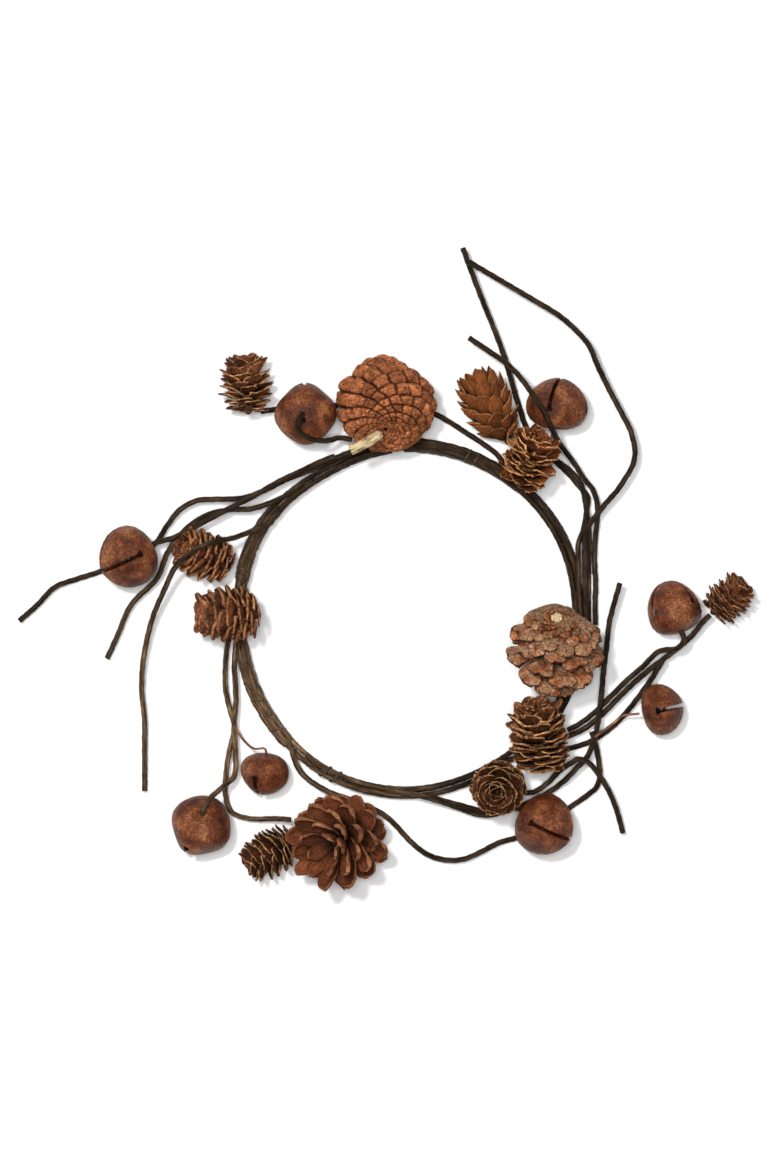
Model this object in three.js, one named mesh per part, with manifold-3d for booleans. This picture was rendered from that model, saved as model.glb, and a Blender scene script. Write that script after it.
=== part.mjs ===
// A pinecone candle-ring wreath that lies flat: taped wire stems bound into a ring,
// with pine cones, small larch cones and rusted jingle bells on the stems' ends.
// Millimetres, +Z up. The origin is on the surface, under the middle of the wreath's outline.
import * as THREE from "three";
import { mergeVertices } from "three/addons/utils/BufferGeometryUtils.js";
import Module from "manifold-3d";

const wasm = await Module();
wasm.setup();

// Driving dimensions
const stemDiameter = 2.6;
const copperDiameter = 1.1;
const bindingDiameter = 0.8;
const bindingClearance = 0.78;
const ringCentre = [12.1, -26];
const stubDiameter = 4.3;
const stubSink = 2;
const bellWall = 1.2;
const slotWidth = 1.7;
const slotEndDiameter = 3.6;
const topHoleDiameter = 4.4;
const pelletDiameter = 5.4;
const pelletRise = 2;
const flatSpotDepth = 0.25;

// How finely each kind of piece is made: sides round a bar and millimetres from ring to ring
const stemSides = 5;
const stemStep = 10;
const hookStep = 3.5;
const copperSides = 4;
const copperStep = 4;
const bindingSides = 3;
const bindingStep = 3.2;
const bindingPointsPerTurn = 12;
const smallRoundSides = 6;
const bellSides = 12;
const bellHollowSides = 8;

// The ring's bundle of stems: its radius and height every 30 degrees, from +X towards +Y.
// The bundle's section is a square of four stems that sways a little along the ring.
const ringRadii = [81.0, 83.4, 84.2, 85.0, 82.9, 84.7, 82.0, 81.9, 82.6, 82.1, 80.6, 82.6];
const ringHeights = [4.0, 5.2, 6.2, 4.4, 5.8, 7.8, 6.6, 7.4, 7.0, 5.6, 4.4, 3.8];
const bundleSway = 14;
const laneGap = 0.35;
const laneOffset = (stemDiameter + laneGap) / Math.SQRT2;
const laneStep = 8;

const taped = { color: 0x54432f, roughness: 0.85, metalness: 0 };
const copper = { color: 0x8a4a2c, roughness: 0.5, metalness: 0.8 };
const binding = { color: 0x3f3328, roughness: 0.55, metalness: 0.7 };
const rust = { color: 0x7d4124, roughness: 0.9, metalness: 0.2 };
const steel = { color: 0x6b6460, roughness: 0.6, metalness: 0.8 };
const paleCone = { color: 0xa8673f, roughness: 0.85, metalness: 0 };
const brownCone = { color: 0x7a4a2c, roughness: 0.85, metalness: 0 };

const wreath = new THREE.Group();
wreath.position.set(ringCentre[0], ringCentre[1], 0);

const degrees = THREE.MathUtils.degToRad;
const lerp = THREE.MathUtils.lerp;

// Geometry and closed solids

function solidFrom(geometry) {
  const bare = geometry.clone();
  bare.deleteAttribute("normal");
  bare.deleteAttribute("uv");
  const merged = mergeVertices(bare, 1e-4);
  const corners = merged.index.array;
  const kept = [];
  for (let i = 0; i < corners.length; i += 3) {
    const [a, b, c] = corners.slice(i, i + 3);
    if (a !== b && b !== c && a !== c) kept.push(a, b, c);
  }
  const vertProperties = merged.attributes.position.array;
  return new wasm.Manifold(
    new wasm.Mesh({ numProp: 3, vertProperties, triVerts: new Uint32Array(kept) }),
  );
}

function geometryFrom(solid) {
  const mesh = solid.getMesh();
  const indexed = new THREE.BufferGeometry();
  indexed.setAttribute("position", new THREE.BufferAttribute(mesh.vertProperties, 3));
  indexed.setIndex(new THREE.BufferAttribute(mesh.triVerts, 1));
  const geometry = indexed.toNonIndexed();
  geometry.computeVertexNormals();
  return geometry;
}

function addMesh(name, geometry, finish) {
  const mesh = new THREE.Mesh(geometry, new THREE.MeshStandardMaterial(finish));
  mesh.name = name;
  wreath.add(mesh);
  return mesh;
}

// A round bar along a smooth curve through the points, in at least three steps
function bar(points, diameter, sides, step) {
  const route = new THREE.CatmullRomCurve3(points.map((p) => new THREE.Vector3(...p)));
  const section = new THREE.Shape();
  for (let i = 0; i < sides; i += 1) {
    const turn = (i / sides) * 2 * Math.PI;
    const x = (diameter / 2) * Math.cos(turn);
    const y = (diameter / 2) * Math.sin(turn);
    if (i === 0) section.moveTo(x, y);
    else section.lineTo(x, y);
  }
  section.closePath();
  const steps = Math.max(3, Math.round(route.getLength() / step));
  return new THREE.ExtrudeGeometry(section, { steps, extrudePath: route, curveSegments: 1 });
}

// The ring

// The value at an angle on the smooth closed curve through twelve values, 30 degrees apart
function aroundTwelve(values, angle) {
  const place = (((angle / 30) % 12) + 12) % 12;
  const i = Math.floor(place);
  const t = place - i;
  const [a, b, c, d] = [11, 0, 1, 2].map((k) => values[(i + k) % 12]);
  const bend = 2 * a - 5 * b + 4 * c - d + t * (3 * (b - c) + d - a);
  return b + 0.5 * t * (c - a + t * bend);
}

// A point off the bundle's middle line, at a distance and a turn round that line
function besideRing(angle, distance, turn) {
  const radius = aroundTwelve(ringRadii, angle) + distance * Math.cos(turn);
  const height = aroundTwelve(ringHeights, angle) + distance * Math.sin(turn);
  return [radius * Math.cos(degrees(angle)), radius * Math.sin(degrees(angle)), height];
}

// Lane 0 is inner and low, 1 outer and low, 2 outer and high, 3 inner and high
function laneTurn(lane, angle) {
  return degrees(225 + lane * 90 + bundleSway * Math.sin(degrees(3 * angle)));
}

// A stretch of one of the bundle's four lanes, clockwise from one angle to another
function alongRing(lane, from, to) {
  const count = Math.round((from - to) / laneStep);
  return Array.from({ length: count + 1 }, (_, i) => {
    const angle = lerp(from, to, i / count);
    return besideRing(angle, laneOffset, laneTurn(lane, angle));
  });
}

// The hoop's cut ends face each other under the first big cone
const hoop = alongRing(0, 92, -264);

// Taped stems: each runs from its free tip to its place in or beside the ring
const stems = {
  stem_long_left: [
    [-188.2, 0.5, 3], [-179.5, 8.2, 3.5], [-170.9, 16.8, 4], [-160.8, 20.6, 3],
    [-148.8, 24.5, 1.7], [-135.4, 30.7, 1.6], [-123.1, 37.4, 3], [-117.1, 46.1, 5],
    [-110.9, 53.8, 7], [-102.7, 58.3, 8.5], [-94.1, 59, 9.5], [-81.1, 59.5, 10],
    [-70.6, 62.9, 10], [-60, 68.2, 10], [-44.6, 74.4, 10], [-37, 78.2, 10.8],
    [-26.4, 82.6, 11.5],
  ],
  stem_left_low: [
    [-145.9, -17.6, 3], [-141.1, -7.2, 4], [-134.2, 8.2, 5], [-121.6, 21.2, 6.5],
    [-116.2, 34.1, 8], [-106.1, 46.1, 9], [-96.5, 51.8, 9.5], [-86.4, 54, 9.8],
    [-75.8, 54.5, 10], ...alongRing(2, 134, -38),
  ],
  stem_down_left: [
    [-127.8, -81.4, 3], [-127.8, -63.8, 4], [-127.8, -47, 5], [-129.1, -32.6, 6],
    [-128.2, -18.2, 8], [-123.8, 1.4, 11], [-117.1, 16.8, 16], [-112.8, 25.4, 21.8],
    [-106.1, 32.2, 28.1], [-97.4, 37, 28.6], [-90.7, 38.9, 27], [-81.6, 41.3, 18],
    ...alongRing(3, 144, -36),
  ],
  stem_bell_8: [
    [-125.6, 36, 13.8], [-121.6, 38.2, 11.9], [-114, 40.3, 11], [-106.1, 44.2, 12],
    [-100.8, 47, 12.8], [-86.4, 54.7, 13], [-76.8, 59.5, 13.2], [-62.4, 67.7, 13.4],
    [-52.3, 72.5, 13.4], [-43.2, 76.8, 13.8], [-36, 79.7, 14],
  ],
  stem_cone_g: [
    [-57.4, -95, 9.6], [-63.8, -94.6, 7.2], [-77.8, -94.6, 4], [-85.9, -91.5, 4],
    [-88.8, -83.5, 4.5], [-88.1, -69.1, 5], [-86.4, -60, 5], [-84.5, -50.9, 5],
    [-86.9, -41.3, 5], [-88.8, -31.7, 5], [-88.8, -20.2, 5], [-87.8, -11, 5],
    ...alongRing(1, 176, 100),
  ],
  stem_bell_6: [
    [-99.1, -91.9, 24.5], [-98.3, -88.8, 28.6], [-95.4, -84, 28.8], [-91.5, -80.5, 21],
    [-88.8, -78.2, 13], [-85.2, -75.2, 10], [-83.8, -71, 9], [-83.8, -65.8, 8.5],
    [-84, -60, 8.3], [-84.6, -50, 8.3], [-83.7, -38.4, 8], [-84, -29.3, 8],
    [-84.5, -20.2, 8], ...alongRing(2, 184, 155),
  ],
  stem_long_bottom: [
    [87.4, -52.8, 5.4], [89.3, -58.6, 5.2], [91, -67.9, 4.6], [91.5, -73.9, 4],
    [89.8, -79.7, 3], [85.7, -83.3, 2.5], [78, -88.8, 1.7], [64.8, -97.9, 1.6],
    [50.6, -104.2, 2.2], [43.7, -106.1, 3], [26.7, -114, 4], [18, -114.7, 4],
    [9.1, -112.3, 4.5], [1.7, -107, 5], [-12.2, -93.1, 5], [-26.4, -86.4, 5.5],
    [-41.3, -80.6, 7], [-52.9, -71.5, 9], ...alongRing(3, -137, -205),
  ],
  stem_bell_3: [
    [54.8, -91.4, 13.5], [51.2, -89.4, 11.8], [46.2, -90.4, 8.2], [40, -92.8, 5.9],
    [33.1, -92.7, 5.6], [24, -89.6, 7], [12, -85.4, 10.4], [0.5, -82.3, 11.2],
    [-12, -80.4, 11.4],
  ],
  stem_lower_right: [
    [100.8, 18.7, 12], [98.4, 10.1, 11], [95.8, 0, 10], [94.6, -11, 9.5],
    [93.1, -23, 9], [91.9, -36, 9], [90.7, -45.6, 9], [89, -55.2, 9],
    [85, -65, 8.5], [80.2, -70.1, 8], [75.4, -75.4, 6], [69.1, -80.6, 3],
    [57.6, -86.9, 2.5], [45.6, -90.7, 2], [33.6, -90.7, 2], [24, -88.2, 4.8],
    ...alongRing(2, -88, -126),
  ],
  stem_cone_f: [
    [144.2, 3.3, 9.9], [141, 0.3, 9.3], [135.5, -6.6, 8.5], [128.8, -12.5, 8],
    [122.3, -17.5, 7.6], [114.2, -23.8, 6.5], [106.5, -30.5, 5.5], [99.8, -37.2, 5],
    [91.6, -45.4, 4.8], [84.4, -51.1, 4.8], [74.4, -55.6, 5.4], ...alongRing(3, -50, -128),
  ],
  stem_bell_4: [
    [129.8, -4, 15.7], [131.2, -8.4, 16.6], [128.6, -12.4, 14], [119.6, -14.2, 8.2],
    [112.2, -21.3, 6.5], [104.5, -28, 5.5], [97.8, -34.7, 5], [89.6, -42.9, 4.8],
    [82.4, -48.6, 4.8], [76, -52.2, 5],
  ],
  stem_beside_bell_5: [
    [121.4, -18.2, 11.5], [117.6, -25, 9], [113.3, -31.4, 7], [109.4, -37, 5],
    [104.2, -43.7, 3], [97.7, -50.4, 2], [88.1, -57.1, 1.7], [76.2, -61.2, 1.8],
    ...alongRing(1, -54, -166),
  ],
  stem_cone_e: [
    [102.5, -101.5, 4], [100.6, -94.4, 6], [98.4, -87.8, 8], [95.5, -81.1, 9],
    [90.7, -73.4, 9.8], [85.4, -67.2, 11.3], [80.6, -65.8, 11.5], [78.2, -67.2, 11],
    [72, -71.5, 9], [65.8, -77.8, 7.2], [58.6, -82, 6.2], [51, -81, 5.8],
    [45.6, -78.4, 5.8],
  ],
  stem_top_inner: [
    [25.4, 179.8, 10], [27.8, 173, 10], [32.6, 160.3, 9], [37.4, 148.3, 8],
    [41.3, 138.7, 7], [45.4, 127.7, 6], [48.5, 117.3, 5], [52.6, 103.7, 4],
    [56.6, 92.6, 3], [64.8, 82.6, 2.5], [76.8, 71, 2.5], [81.6, 65.3, 2.5],
    [85.7, 60, 3], [85, 52.8, 3], [83.5, 44.4, 4], [81.1, 37.9, 6.5],
    [80.9, 29.8, 9], [81.1, 21.1, 9], [81.6, 7.7, 8.6], [83.5, -3.8, 8.4],
  ],
  stem_top_outer: [
    [28.3, 172.8, 13.5], [41.3, 165.1, 14], [57.4, 155.5, 15], [71.5, 146.9, 15],
    [79.7, 139.7, 15], [85.9, 132.5, 14], [90, 122.9, 14], [95.5, 111.8, 13],
    [101.8, 99.8, 13], [105.9, 91.7, 12], [108, 82.1, 12], [107, 75.4, 11],
    [103.2, 68.6, 11], [98.9, 62.4, 10.5], [94.6, 57.6, 10.2], [90.2, 52.1, 9.8],
    [85.9, 46.1, 9.4], [84.2, 40.3, 8], [84.1, 32.2, 6.6], [84.2, 21.1, 6.2],
    [84.7, 7.7, 6], [86, -3.8, 6],
  ],
  stem_over_bell_2: [
    [28.3, 136.3, 14], [37.4, 130.1, 16], [45.4, 124.3, 20], [51.8, 117.8, 25],
    [57.6, 109.7, 29], [62.9, 101.5, 30.5], [67.6, 92.4, 25.5], [73, 84, 13],
    [78.5, 76.8, 10], [83.5, 69.1, 8.6], [87.8, 63.8, 6.6], [90.2, 56.6, 5],
    [90.2, 49, 3.8], [89.5, 41.8, 3], [89, 34.6, 3], [89, 26.9, 3],
    [89.5, 18.5, 3], [89.2, 10.1, 3], [89.4, -1.4, 3],
  ],
  stem_cone_1: [
    [2.4, 101.5, 3.2], [7.2, 100.8, 4], [11.5, 100.3, 4.5], [18.7, 96.5, 5],
    [26.6, 91.4, 5], [34.6, 86.2, 5], [42.3, 80.2, 5], ...alongRing(1, 56, -42),
  ],
  stem_cone_b: [
    [45.5, 88.7, 10.6], [47, 86.4, 9.8], [51, 84.9, 7.6], [57.6, 83.9, 6.5],
    [68.2, 78.7, 6.4], [76.8, 73, 6.4], [82.6, 65.3, 6.5], [84.6, 56.2, 6.6],
    [85.6, 49, 6.5], [86.3, 41, 5.4], [86.2, 33, 3.6], [86, 24, 3],
    [86, 7.7, 2.9], [86.2, -3.8, 2.9],
  ],
  stem_bell_1: [
    [-51.3, 99.2, 29.5], [-51.6, 98.9, 33.4], [-53.2, 96.4, 35.4], [-54, 93.4, 34.2],
    [-52.3, 90.2, 32], [-47.5, 87.6, 29.6], [-42.2, 86.6, 25], [-37.8, 87.2, 18.5],
    [-34, 88.4, 13], [-27.8, 87.8, 11.5],
  ],
  stem_cone_a: [
    [-71.1, 101.4, 6.8], [-69, 101.8, 3.8], [-63, 102.7, 1.8], [-49.9, 103.7, 1.6],
    [-38.4, 104.2, 1.8], [-31.2, 104.6, 2], [-24.8, 104.6, 2.6],
  ],
};

// These bend tightly into a bell's top hole
const hookedStems = ["stem_bell_1", "stem_bell_4"];

const copperWires = {
  copper_wire_bell_2: [
    [67.9, 92.4, 12.8], [68.2, 88.6, 12.4], [69.6, 85.4, 12.2], [71.4, 82.4, 11.4],
  ],
  copper_wire_bell_7: [
    [-84.3, -49.6, 10.5], [-80.4, -56, 12.4], [-74.8, -60.6, 15.5], [-69.6, -60.6, 16.2],
    [-68.8, -63.4, 15.1],
  ],
  copper_wire_bell_5: [
    [88.6, -55.2, 11.2], [97.9, -48.5, 9], [102.6, -44.8, 9.5], [106.4, -44.4, 10.2],
    [110.2, -44, 10.6],
  ],
};

// Thin wire wound round the bundle's square section, from one angle to another
function bindingRoute(from, to, turns) {
  const count = turns * bindingPointsPerTurn;
  const halfBar = (stemDiameter + bindingDiameter) / 2 + bindingClearance;
  const corner = laneOffset + halfBar;
  const flat = laneOffset * Math.SQRT1_2 + halfBar;
  return Array.from({ length: count + 1 }, (_, i) => {
    const angle = lerp(from, to, i / count);
    const wind = (i / bindingPointsPerTurn) * 2 * Math.PI;
    const distance = lerp(flat, corner, (1 + Math.cos(4 * wind)) / 2);
    return besideRing(angle, distance, laneTurn(0, angle) + wind);
  });
}

const bindings = {
  binding_wire_left: bindingRoute(198, 221, 4),
  binding_wire_upper_left: bindingRoute(161, 166, 2),
  binding_wire_top: bindingRoute(66, 72, 2),
  binding_wire_bottom: bindingRoute(238, 246, 2),
};

// Cones: an own frame with the base at the origin and the tip up the Z axis

// An open cone's outline, as shares of its length: where it is widest, and how far from there
// its ellipse reaches towards the base and towards the tip. A closed cone's is round.
const widestAt = 0.36;
const reachToBase = 0.5;
const reachToTip = 0.68;
const bluntness = 0.05;
const scaleUnevenness = 0.07;

// How wide an open cone is at a share of its length, as a share of its widest
function coneProfile(share) {
  const reach = share < widestAt ? reachToBase : reachToTip;
  return Math.sqrt(Math.max(bluntness, 1 - ((share - widestAt) / reach) ** 2));
}

// A repeatable draw between -1 and 1
function seeded(seed) {
  const value = Math.sin(seed * 127.1 + 11.7) * 43758.5453;
  return 2 * (value - Math.floor(value)) - 1;
}

// Scales by a formula: the surface goes from the core out under a whorl of scales to their
// rims and back over them. Each whorl is turned against the one below, so scales alternate.
// A scale is perScale columns wide, and the notch is how far the surface comes out between
// two scales, as a share of their reach.
function coneSolid(sizes) {
  const { length, radius, whorls, scales, perScale, notch, core, openBase, openTip } = sizes;
  const columns = scales * perScale;
  const rows = 2 * whorls + 1;
  const surface = new THREE.SphereGeometry(1, columns, rows);
  const corners = surface.attributes.position;
  for (let i = 0; i < corners.count; i += 1) {
    const fromTip = Math.floor(i / (columns + 1));
    const column = (i % (columns + 1)) % columns;
    const whorl = whorls - 1 - Math.floor((fromTip - 1) / 2);
    const share = sizes.closed
      ? 0.5 - 0.5 * Math.cos((Math.PI * (whorl + 0.5)) / whorls)
      : (whorl + 0.5) / whorls;
    const round = 2 * Math.sqrt(Math.abs(share * (1 - share)));
    const valley = core * radius * (sizes.closed ? round : coneProfile(0.1 + 0.8 * share));
    const root = length * (sizes.closed ? 0.04 + 0.9 * share : 0.05 + (0.74 * whorl) / whorls);
    let out = valley;
    let height = root;
    if (fromTip === 0) [out, height] = [0, length * 0.9];
    else if (fromTip === rows) [out, height] = [0, 0];
    else if (fromTip % 2 === 1) {
      const phase = (column + whorl * (perScale - 1)) % columns;
      const scale = Math.floor(phase / perScale);
      const edge = phase % perScale === 0 ? notch : 1;
      const girth = sizes.closed ? round : coneProfile(share);
      const uneven = scaleUnevenness * seeded(sizes.seed + whorl * 31 + scale);
      const rim = radius * girth * (1 + uneven);
      out = lerp(valley, rim, edge);
      const lean = degrees(lerp(openBase, openTip, share));
      height = root + (out - valley) / Math.tan(lean);
    }
    const turn = (column / columns) * 2 * Math.PI;
    corners.setXYZ(i, -out * Math.cos(turn), height, out * Math.sin(turn));
  }
  surface.rotateX(Math.PI / 2);
  return solidFrom(surface);
}

// What is left of the twig at a cone's base, leaning its own way
function stubSolid(way, turn) {
  const reach = new THREE.Vector3(...way).applyQuaternion(turn.clone().invert());
  const radius = stubDiameter / 2;
  const stub = new THREE.CylinderGeometry(radius, radius, 2 * reach.length(), smallRoundSides);
  const upright = new THREE.Vector3(0, 1, 0);
  stub.applyQuaternion(
    new THREE.Quaternion().setFromUnitVectors(upright, reach.clone().normalize()),
  );
  return solidFrom(stub).trimByPlane([reach.x, reach.y, reach.z], -stubSink);
}

const smallKind = {
  whorls: 7, scales: 5, perScale: 3, notch: 0.3, core: 0.4, openBase: 84, openTip: 30,
};
const cones = {
  big_cone_1: {
    length: 47, radius: 23.5, whorls: 8, scales: 8, perScale: 3, notch: 0.15, core: 0.8,
    openBase: 100, openTip: 60, closed: true, at: [-11.8, 105.5], tip: [0, 0.51, -0.86],
    stub: [-14, -9, 4], finish: paleCone,
  },
  big_cone_2: {
    length: 48, radius: 24, whorls: 8, scales: 8, perScale: 3, notch: 0.25, core: 0.72,
    openBase: 94, openTip: 48, closed: true, at: [69.4, -14.9], tip: [0, -0.72, -0.69],
    lowest: 6.5, stub: [-1.5, 4, 5], finish: paleCone,
  },
  big_cone_3: {
    length: 40, radius: 24.5, whorls: 7, scales: 7, perScale: 3, notch: 0.25, core: 0.35,
    openBase: 88, openTip: 35, at: [-31.7, -104.6], tip: [-0.36, -0.16, 0.92],
  },
  small_cone_a: { length: 29, radius: 13.5, at: [-78.7, 113.3], tip: [-0.08, 0.99, 0.1] },
  small_cone_b: { length: 36, radius: 13, at: [37, 105.1], tip: [-0.46, 0.89, 0.1] },
  small_cone_c: { length: 29, radius: 14, at: [59, 78.2], tip: [0.46, 0.88, 0.1], lowest: 7.6 },
  small_cone_d: { length: 36, radius: 15.5, at: [61.4, -54.2], tip: [-0.1, 0.98, 0.15], lowest: 5.8 },
  small_cone_e: { length: 30, radius: 14, at: [42.2, -79.2], tip: [-0.1, -0.15, 0.98], lowest: 7.4 },
  small_cone_f: { length: 26, radius: 11.2, at: [154, 12.4], tip: [0.72, 0.67, 0.15] },
  small_cone_g: { length: 29, radius: 12.5, at: [-66.7, -110.4], tip: [-0.86, -0.48, 0.15] },
  small_cone_h: { length: 30, radius: 12.5, at: [-98.4, 31.7], tip: [-0.86, 0.36, 0.35] },
  small_cone_i: { length: 32, radius: 14.4, at: [-86.4, 3.8], tip: [-0.98, 0, 0.15], lowest: 9.7 },
};

// Turned pieces rest on a small flat spot, at their lowest height
function place(name, solid, middle, spot, turn, lowest, finish) {
  const up = new THREE.Vector3(0, 0, 1).applyQuaternion(turn.clone().invert());
  const corners = solid.getMesh().vertProperties;
  let bottom = Infinity;
  for (let i = 0; i < corners.length; i += 3) {
    const corner = new THREE.Vector3(corners[i], corners[i + 1], corners[i + 2]);
    bottom = Math.min(bottom, corner.dot(up));
  }
  const cut = bottom + flatSpotDepth;
  const cutSolid = solid.trimByPlane([up.x, up.y, up.z], cut);
  const mesh = addMesh(name, geometryFrom(cutSolid), finish);
  mesh.quaternion.copy(turn);
  const shift = middle.clone().applyQuaternion(turn);
  mesh.position.set(spot[0] - shift.x, spot[1] - shift.y, lowest - cut);
  return mesh;
}

function addCone(name, given, seed) {
  const sizes = { ...smallKind, ...given, seed };
  const turn = new THREE.Quaternion().setFromUnitVectors(
    new THREE.Vector3(0, 0, 1),
    new THREE.Vector3(...sizes.tip).normalize(),
  );
  const middle = new THREE.Vector3(0, 0, sizes.length / 2);
  const cone = coneSolid(sizes);
  const whole = sizes.stub ? cone.add(stubSolid(sizes.stub, turn)) : cone;
  place(name, whole, middle, sizes.at, turn, sizes.lowest ?? 0, sizes.finish ?? brownCone);
}

// Bells: an own frame with the closed end up the Z axis and the slots crossing at the bottom

// The bell's outline from the slot end to the closed end, as shares of its radius
const bellOutline = [
  [0, -0.98], [0.3, -0.95], [0.62, -0.76], [0.88, -0.42], [1, 0.02], [0.93, 0.45],
  [0.62, 0.78], [0.25, 0.92], [0, 0.93],
];

const bellHollow = [[0, -0.98], [0.7, -0.66], [0.98, 0.02], [0.66, 0.7], [0, 0.9]];

function bellShape(shares, radius, sides) {
  const outline = shares.map(([r, z]) => new THREE.Vector2(r * radius, z * radius));
  const shape = new THREE.LatheGeometry(outline, sides);
  shape.rotateX(Math.PI / 2);
  return solidFrom(shape);
}

function bellSolid(diameter) {
  const radius = diameter / 2;
  const through = diameter * 1.2;
  const hollow = bellShape(bellHollow, radius - bellWall, bellHollowSides);
  let shell = bellShape(bellOutline, radius, bellSides).subtract(hollow);
  for (const turn of [0, Math.PI / 2]) {
    const slot = new THREE.BoxGeometry(through, slotWidth, diameter);
    slot.translate(0, 0, -radius);
    slot.rotateZ(turn);
    const endRadius = slotEndDiameter / 2;
    const ends = new THREE.CylinderGeometry(endRadius, endRadius, through, smallRoundSides);
    ends.rotateZ(Math.PI / 2 + turn);
    shell = shell.subtract(solidFrom(slot)).subtract(solidFrom(ends));
  }
  const holeRadius = topHoleDiameter / 2;
  const hole = new THREE.CylinderGeometry(holeRadius, holeRadius, radius, smallRoundSides);
  hole.rotateX(Math.PI / 2);
  hole.translate(0, 0, radius);
  return shell.subtract(solidFrom(hole));
}

// slots is the way the slot end looks, and hole a way that the closed end's hole turns to
const bells = {
  bell_1: {
    diameter: 30, at: [-49.9, 100.3], slots: [0.1, 0.08, -0.99], hole: [0, 1, 0.2], lowest: 3.2,
  },
  bell_2: { diameter: 30, at: [70.6, 104.4], slots: [0.12, 0.98, 0.12], hole: [-0.29, -0.11, 0.95] },
  bell_3: {
    diameter: 30, at: [64.8, -97.2], slots: [0.8, -0.46, 0.38], hole: [-0.45, 0.09, 0.89],
    lowest: 3.2,
  },
  bell_4: { diameter: 28, at: [126.2, 6.9], slots: [-0.3, 0.93, -0.2], hole: [-0.74, -0.07, 0.67] },
  bell_5: { diameter: 25, at: [121, -41.8], slots: [0.97, 0.2, 0.12], hole: [0, 0, 1] },
  bell_6: {
    diameter: 30, at: [-100.3, -98.4], slots: [-0.1, -0.55, -0.83], hole: [-0.48, -0.76, 0.43],
  },
  bell_7: { diameter: 24, at: [-69.8, -73], slots: [-0.1, -0.95, -0.3], hole: [-0.37, -0.24, 0.9] },
  bell_8: {
    diameter: 30, at: [-135.4, 30.7], slots: [-0.81, -0.44, 0.38], hole: [0.5, 0.13, 0.85],
    lowest: 3.2,
  },
};

function addBell(name, { diameter, at, slots, hole, lowest = 0 }) {
  const axis = new THREE.Vector3(...slots).normalize().negate();
  const side = new THREE.Vector3(...hole);
  side.addScaledVector(axis, -side.dot(axis)).normalize();
  const across = new THREE.Vector3().crossVectors(axis, side);
  const turn = new THREE.Quaternion().setFromRotationMatrix(
    new THREE.Matrix4().makeBasis(side, across, axis),
  );
  const bell = place(name, bellSolid(diameter), new THREE.Vector3(), at, turn, lowest, rust);
  const pellet = addMesh(
    name.replace("bell", "pellet"),
    new THREE.IcosahedronGeometry(pelletDiameter / 2, 0),
    steel,
  );
  const drop = diameter / 2 - bellWall - pelletDiameter / 2 - pelletRise;
  pellet.position.set(bell.position.x, bell.position.y, bell.position.z - drop);
}

addMesh("hoop_wire", bar(hoop, stemDiameter, stemSides, stemStep), taped);
for (const [name, points] of Object.entries(stems)) {
  const step = hookedStems.includes(name) ? hookStep : stemStep;
  addMesh(name, bar(points, stemDiameter, stemSides, step), taped);
}
for (const [name, points] of Object.entries(copperWires)) {
  addMesh(name, bar(points, copperDiameter, copperSides, copperStep), copper);
}
for (const [name, points] of Object.entries(bindings)) {
  addMesh(name, bar(points, bindingDiameter, bindingSides, bindingStep), binding);
}
const seedStep = 100;
Object.entries(cones).forEach(([name, sizes], i) => addCone(name, sizes, seedStep * i));
for (const [name, sizes] of Object.entries(bells)) addBell(name, sizes);

export default wreath;
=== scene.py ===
import math
import random

import bmesh
import bpy
from mathutils import Matrix, Vector, kdtree, noise


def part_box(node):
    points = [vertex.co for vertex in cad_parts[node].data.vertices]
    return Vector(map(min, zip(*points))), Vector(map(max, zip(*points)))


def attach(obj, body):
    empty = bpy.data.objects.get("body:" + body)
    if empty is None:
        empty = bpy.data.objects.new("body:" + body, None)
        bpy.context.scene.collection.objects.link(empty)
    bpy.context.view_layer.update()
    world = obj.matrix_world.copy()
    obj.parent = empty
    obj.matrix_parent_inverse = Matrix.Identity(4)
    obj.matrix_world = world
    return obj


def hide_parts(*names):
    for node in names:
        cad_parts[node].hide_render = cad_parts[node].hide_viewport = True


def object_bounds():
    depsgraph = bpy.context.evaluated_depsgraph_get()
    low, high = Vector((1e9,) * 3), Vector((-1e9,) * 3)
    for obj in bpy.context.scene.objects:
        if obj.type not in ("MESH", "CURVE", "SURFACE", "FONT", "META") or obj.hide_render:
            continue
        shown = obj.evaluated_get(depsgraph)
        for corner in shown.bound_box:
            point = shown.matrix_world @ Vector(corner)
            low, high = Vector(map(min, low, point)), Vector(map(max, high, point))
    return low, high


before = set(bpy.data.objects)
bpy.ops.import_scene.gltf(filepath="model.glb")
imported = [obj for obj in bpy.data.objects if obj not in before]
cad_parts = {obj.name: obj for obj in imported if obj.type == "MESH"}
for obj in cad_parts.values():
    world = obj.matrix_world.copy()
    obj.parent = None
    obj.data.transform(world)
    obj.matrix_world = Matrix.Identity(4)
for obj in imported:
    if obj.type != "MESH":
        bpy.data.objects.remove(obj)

cad_low, cad_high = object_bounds()


# The hoop: steel wire wrapped in a spiral of brown paper tape, bent into a ring of four
# lanes of stems. The maker winds the tape wet, so each turn overlaps the last as a low step.
MILLIMETRE = 0.001
RING_CENTRE = Vector((12.1, -26.0, 0.0))
STEM_DIAMETER = 2.6
CLEARANCE = 0.3
LANE_OFFSET = (STEM_DIAMETER + CLEARANCE + 0.05) / math.sqrt(2)
BUNDLE_SWAY = 14.0
RING_RADII = [81.0, 83.4, 84.2, 85.0, 82.9, 84.7, 82.0, 81.9, 82.6, 82.1, 80.6, 82.6]
RING_HEIGHTS = [4.0, 5.2, 6.2, 4.4, 5.8, 7.8, 6.6, 7.4, 7.0, 5.6, 4.4, 3.8]


def around_twelve(values, angle):
    place = (angle / 30.0) % 12.0
    i = int(place)
    t = place - i
    a, b, c, d = (values[(i + k) % 12] for k in (11, 0, 1, 2))
    bend = 2 * a - 5 * b + 4 * c - d + t * (3 * (b - c) + d - a)
    return b + 0.5 * t * (c - a + t * bend)


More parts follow.
